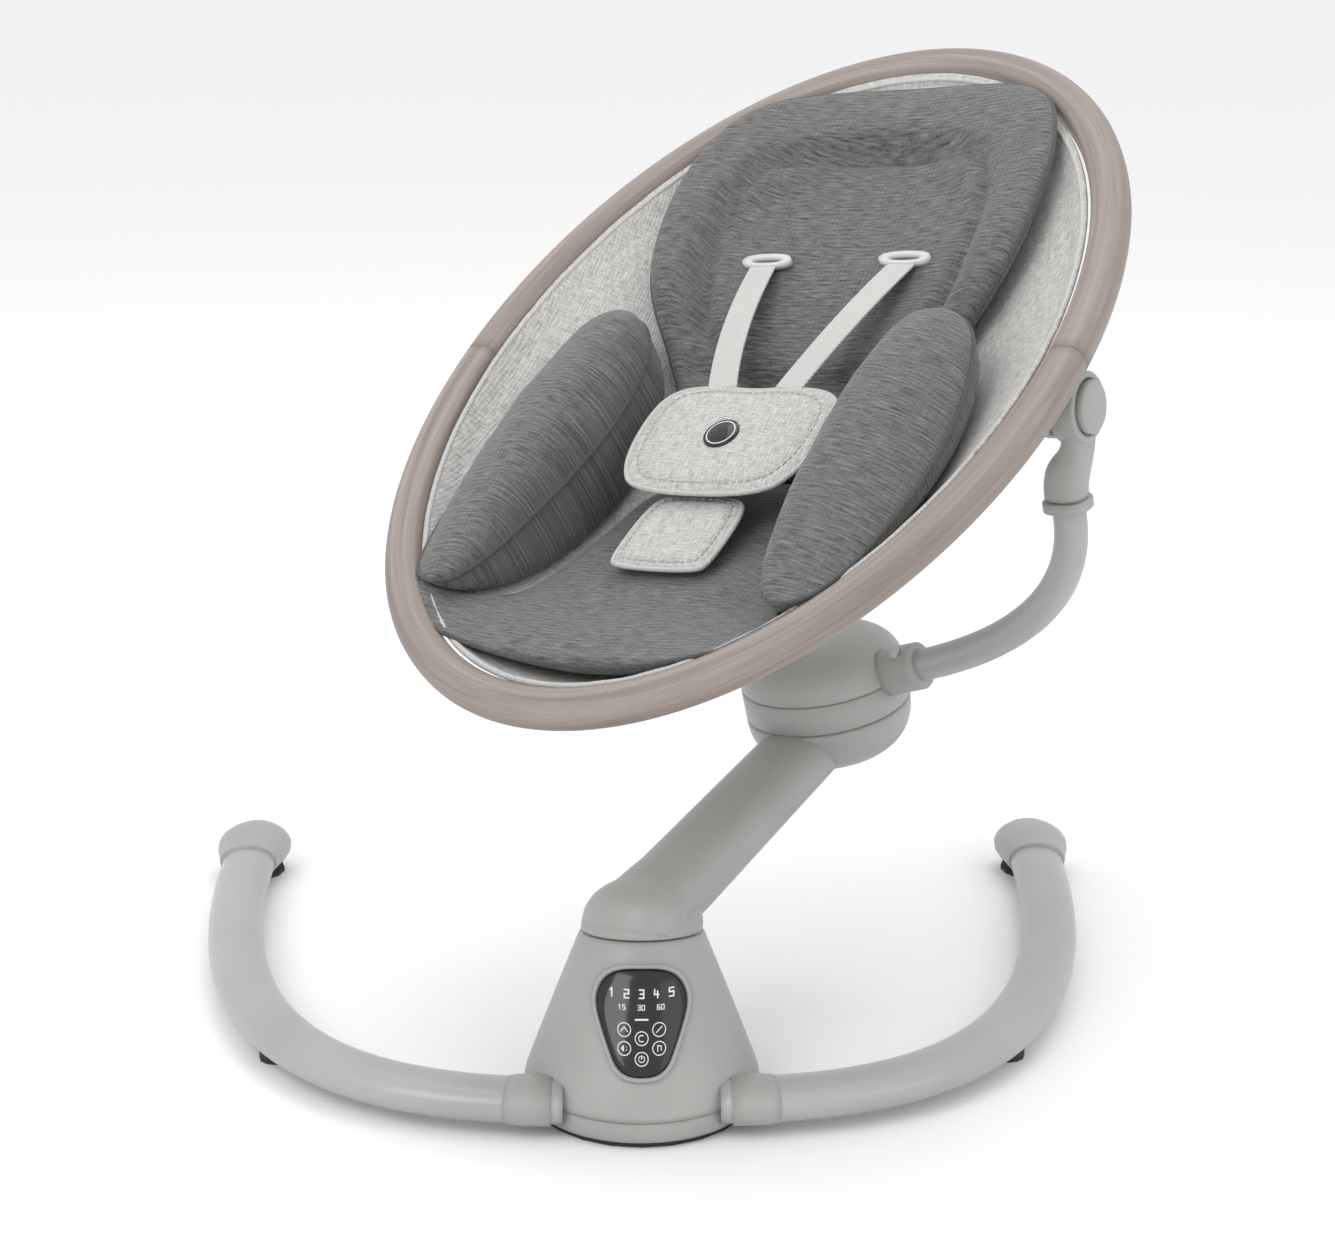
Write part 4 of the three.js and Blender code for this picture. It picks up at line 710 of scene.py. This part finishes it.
def stitches(name, points, place_on, length=3.2, pitch=5.0, radius=0.42):
    """Short thread stitches along a line, laid on the cloth."""
    def make(bm):
        travelled, wait = 0.0, 0.0
        for a, b in zip(points, points[1:] + points[:1]):
            step_length = (b - a).length
            while wait < travelled + step_length:
                at = a.lerp(b, (wait - travelled) / max(1e-6, step_length))
                run = (b - a).normalized()
                lines = [at - run * length / 2, at, at + run * length / 2]
                across = run.cross(Vector((0, 0, 1))).normalized()
                loops = []
                for i, mark in enumerate(lines):
                    lift = Vector((0, 0, radius * (0.9 if i == 1 else 0.1)))
                    loops.append([mark + lift + across * u * (1 if i == 1 else 0.6) + Vector((0, 0,
                        1)) * v for u, v in rounded(2 * radius, 2 * radius, 2, 6)])
                rings(bm, loops)
                wait += pitch
            travelled += step_length
    return piece(name, make, THREAD, "seat", place_on)


stitches("liner_hem_stitching", [liner_at(HEM_SHARE, 2 * math.pi * i / 300) for i in range(300)], seat)


# ------------------------------------------------------------------ stuffed pieces
CUSHION_ROWS = 30


def stuffed(name, outline, face, replaced, material=DARK, under=None, *,
            centre, seams=(), edge=0.42, wrinkle=1.0, cord_share=0.5):
    """A closed cushion: its outline, its face and underside as heights, and seams that pinch it in."""
    under = under or (lambda x, y: liner_level(x, y) + 2.5)

    def heights(x, y, share):
        low = under(x, y)
        high = max(face(x, y), low + 5)
        swell = max(0.0, 1 - share ** 5) ** edge
        pinch = sum(depth * math.exp(-(gap(x, y) / width) ** 2) for gap, depth, width in seams)
        broad = 1.5 * noise.noise(Vector((x * 0.021, y * 0.028, 1)))
        wave = wrinkle * (broad + 0.7 * noise.noise(Vector((x * 0.055, y * 0.075, 7))))
        mid = low + (high - low) * cord_share
        return mid + (low - mid) * swell, mid + (high - mid - pinch + wave) * swell

    def make(bm):
        top, bottom = [], []
        for i in range(CUSHION_ROWS + 1):
            share = math.sin(math.pi / 2 * (0.02 + 0.98 * i / CUSHION_ROWS))
            upper, lower = [], []
            for px, py in outline:
                x = centre[0] + (px - centre[0]) * share
                y = centre[1] + (py - centre[1]) * share
                low, high = heights(x, y, share)
                upper.append(Vector((x, y, high)))
                lower.append(Vector((x, y, low)))
            top.append(upper)
            bottom.append(lower)
        rings(bm, top + bottom[:-1][::-1])
    made = piece(name, make, material, "seat", seat, replaced=replaced, uv=flat_uv)
    line = [Vector((px, py, heights(px, py, 1.0)[1])) for px, py in outline]
    edge_cord(name + "_piping", line, 1.7, PIPING if material is DARK else BINDING)
    return made


def smooth_outline(corners, count=176, rounds=5):
    """A closed outline rounded through its corner points."""
    points = [Vector(c) for c in corners]
    for _ in range(rounds):
        cut = []
        for a, b in zip(points, points[1:] + points[:1]):
            cut += [a.lerp(b, 0.25), a.lerp(b, 0.75)]
        points = cut
    lengths = [0.0]
    for a, b in zip(points, points[1:] + points[:1]):
        lengths.append(lengths[-1] + (b - a).length)
    made, k = [], 0
    for i in range(count):
        want = lengths[-1] * i / count
        while lengths[k + 1] < want:
            k += 1
        t = (want - lengths[k]) / max(1e-9, lengths[k + 1] - lengths[k])
        made.append(tuple(points[k].lerp(points[(k + 1) % len(points)], t)))
    return made


def gap_to(line):
    """Distance from a point to an open line of points."""
    marks = [Vector(p) for p in line]

    def gap(x, y):
        best = 1e9
        for a, b in zip(marks, marks[1:]):
            run = b - a
            t = min(1, max(0, ((Vector((x, y)) - a).dot(run)) / run.length_squared))
            best = min(best, (a + run * t - Vector((x, y))).length)
        return best
    return gap


def middle_face(y):
    """The top of the cushions along the middle of the seat, from foot to head."""
    if y > 111:
        return -22 + 22 * (y - 111) / 142
    if y > -34:
        return -52 + 30 * (y + 34) / 145
    share = min(1, max(0, (y + 252) / 218))
    return 2 - 64 * share ** 0.8


back = smooth_outline([(-70, -34), (70, -34), (78, 0), (104, 40), (132, 80), (143, 130), (140, 188),
                       (116, 240), (56, 260), (-56, 260), (-116, 240),
                       (-140, 188), (-143, 130), (-132, 80), (-104, 40), (-78, 0)])
arch = [(-66, 46), (-84, 60), (-96, 90), (-101, 130), (-97, 165), (-82, 190), (-50, 203), (0, 207),
        (50, 203), (82, 190), (97, 165), (101, 130),
        (96, 90), (84, 60), (66, 46)]
fold = [(-80, 32), (-30, 22), (30, 22), (80, 32)]


def back_face(x, y):
    roll = 13 * step(88, 116, math.hypot(x, max(0, y - 112) * 1.05))
    return middle_face(y) + roll * step(40, 90, y) + 0.0012 * x * x


stuffed("head_and_back_cushion", back, back_face, ("back_cushion",),
        seams=((gap_to(arch), 11, 5.5), (gap_to(fold), 8, 7)), centre=(0, 120))

for side, prefix in ((1, "right"), (-1, "left")):
    wing = smooth_outline([(side * x, y)
                           for x, y in ((96, 30), (122, 42), (147, 28), (164, -40), (166, -110),
                                        (152, -196), (126, -214), (104, -196), (92, -110), (88, -30))])

    def wing_face(x, y, side=side):
        off = abs(x) - 112
        return 28 - (0.0085 if off > 0 else 0.03) * off * off - 0.0007 * (y + 80) ** 2
    stuffed(prefix + "_side_bolster", wing, wing_face, (prefix + "_wing_cushion",),
            centre=(side * 118, -85), cord_share=0.7, edge=0.27)

front = smooth_outline([(-74, -38), (74, -38), (84, -120), (92, -196), (146, -206), (146, -222),
                        (110, -246), (50, -256), (-50, -256), (-110, -246), (-146, -222),
                        (-146, -206), (-92, -196), (-84, -120)])
crease = [(-140, -212), (-60, -226), (0, -230), (60, -226), (140, -212)]
stuffed("seat_lobe_cushion", front,
        lambda x, y: middle_face(y) + 3 * step(-200, -235, y) + 0.0006 * x * x * step(-180, -210, y),
        ("seat_cushion",),
        seams=((gap_to([(-70, -46), (70, -46)]), 4, 6),), centre=(0, -170), cord_share=0.6)

# ------------------------------------------------------------------ harness
for side, prefix in ((1, "right"), (-1, "left")):
    a, b = Vector((side * 53, 104, -15)), Vector((side * 24, -14, -15))
    line = [a + Vector((0, 6, -4)), a + Vector((0, 2, -0.5))] + bezier(a,
                        a.lerp(b, 0.33) + Vector((side * 2, 0, 5)),
                        a.lerp(b, 0.66) + Vector((side * 4, 0, 6)), b, 40)
    piece(prefix + "_shoulder_webbing", swept(line, rounded(2, 20, 6, 28), Vector((0, 0, 1))), WEBBING,
          "seat", seat,
          replaced=(prefix + "_shoulder_strap",), uv=lambda co: (co.x * MM, co.y * MM))
    guide = smooth_outline([(side * 53 + u, 111 + v) for u, v in ((-19, -6), (19, -6), (19, 6), (-19, 6))],
                           64, 3)

    def guide_mesh(bm, guide=guide, side=side):
        inside = [(side * 53 + (x - side * 53) * 0.62, 111 + (y - 111) * 0.42) for x, y in guide]
        loops = [[Vector((x, y, z)) for x, y in edge]
                 for edge, z in ((inside, -18), (inside, -14), (guide, -13.6), (guide, -18))]
        rings(bm, loops + [loops[0]], capped=False)
        bmesh.ops.remove_doubles(bm, verts=bm.verts, dist=1e-4)
    piece(prefix + "_webbing_guide", guide_mesh, PLASTIC_WHITE, "seat", seat,
          replaced=(prefix + "_strap_guide",))

belly = smooth_outline([(-70, -38), (-62, -14), (-30, -10), (0, -14), (30, -10), (62, -14), (70, -38),
                        (66, -80), (46, -104), (-46, -104), (-66, -80)], 150, 3)
stuffed("belly_pad_cover", belly, lambda x, y: -10.5 - 0.0006 * x * x, ("belly_pad",), LIGHT,
        lambda x, y: -20.5, wrinkle=0.35,
        centre=(0, -57), edge=0.5,
        seams=((gap_to([(x * 0.87, -57 + (y + 57) * 0.87) for x, y in belly[::3] + belly[:1]]), 1.4, 1.6),))
stitches("belly_pad_stitching",
         [Vector((x * 0.87, -57 + (y + 57) * 0.87, -11.7 - 0.0006 * x * x)) for x, y in belly], seat)
piece("badge_disc",
      lathe([(2, -11.1), (11.6, -11.1), (12, -10.7), (12, -9.6), (11.5, -9.2), (2, -9.2)], 64), BLACK,
      "seat",
      seat @ Matrix.Translation((0, -57, 0)), replaced=("pad_badge",))


def badge_ring_mesh(bm):
    loops = []
    for radius, z in ((9.2, -9.2), (9.2, -9.0), (10, -9.0), (10, -9.2), (9.2, -9.2)):
        loops.append([Vector((radius * math.cos(t * math.pi / 32), radius * math.sin(t * math.pi / 32),
                              z)) for t in range(64)])
    rings(bm, loops, capped=False)
    bmesh.ops.remove_doubles(bm, verts=bm.verts, dist=1e-4)


piece("badge_ring", badge_ring_mesh, WHITE, "seat", seat @ Matrix.Translation((0, -57, 0)))
crotch = smooth_outline([(-22, -96), (22, -96), (35, -104), (36, -154), (30, -162), (-30, -162),
                         (-36, -154), (-35, -104)], 120, 3)
stuffed("crotch_pad_cover", crotch, lambda x, y: -23 - 0.09 * (y + 100), ("crotch_pad",), LIGHT,
        lambda x, y: -31.5 - 0.09 * (y + 100), wrinkle=0.4,
        centre=(0, -128), edge=0.5,
        seams=((gap_to([(x * 0.86, -129 + (y + 129) * 0.88) for x, y in crotch[::3] + crotch[:1]]), 1.2,
                1.5),))
stitches("crotch_pad_stitching",
         [Vector((x * 0.86, -129 + (y + 129) * 0.88, -24.2 - 0.09 * (-129 + (y + 129) * 0.88 + 100)))
          for x, y in crotch], seat)

# ------------------------------------------------------------------ studio
bpy.ops.mesh.primitive_plane_add(size=60, location=(0, 0, 0))
floor = bpy.context.object
floor.name = "studio_floor"
paper = bpy.data.materials.new("studio paper")
paper.use_nodes = True
paper.node_tree.nodes["Principled BSDF"].inputs["Base Color"].default_value = (0.93, 0.93, 0.93, 1)
paper.node_tree.nodes["Principled BSDF"].inputs["Roughness"].default_value = 0.95
floor.data.materials.append(paper)
stage_pieces = [floor]


def lamp(name, place, aim, size, power):
    data = bpy.data.lights.new(name, "AREA")
    data.shape = "RECTANGLE"
    data.size, data.size_y = size
    data.energy = power
    made = bpy.data.objects.new(name, data)
    made.location = place
    made.rotation_euler = (Vector(aim) - Vector(place)).to_track_quat("-Z", "Y").to_euler()
    bpy.context.scene.collection.objects.link(made)
    stage_pieces.append(made)


lamp("key", (-1.6, -1.7, 2.4), (0, 0.1, 0.3), (1.6, 1.6), 24)
lamp("fill", (2.0, -1.5, 1.5), (0, 0.1, 0.3), (1.8, 1.8), 8)
lamp("top", (0.2, 0.9, 2.6), (0, 0.1, 0.3), (2.2, 1.6), 16)
world = bpy.data.worlds.new("studio")
world.use_nodes = True
world.node_tree.nodes["Background"].inputs["Color"].default_value = (1, 1, 1, 1)
world.node_tree.nodes["Background"].inputs["Strength"].default_value = 0.95
bpy.context.scene.world = world
bpy.context.scene.view_settings.view_transform = "Standard"

camera_data = bpy.data.cameras.new("camera")
camera_data.lens = 73.69
camera_data.sensor_width = 36
camera = bpy.data.objects.new("camera", camera_data)
camera.location = (0.00457, -1.5059, 0.7297)
camera.rotation_euler = (math.radians(90 - 16.02), 0, math.radians(-0.41))
bpy.context.scene.collection.objects.link(camera)
bpy.context.scene.camera = camera
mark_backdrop(*stage_pieces)

SIZES["visual"] = plain(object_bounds())
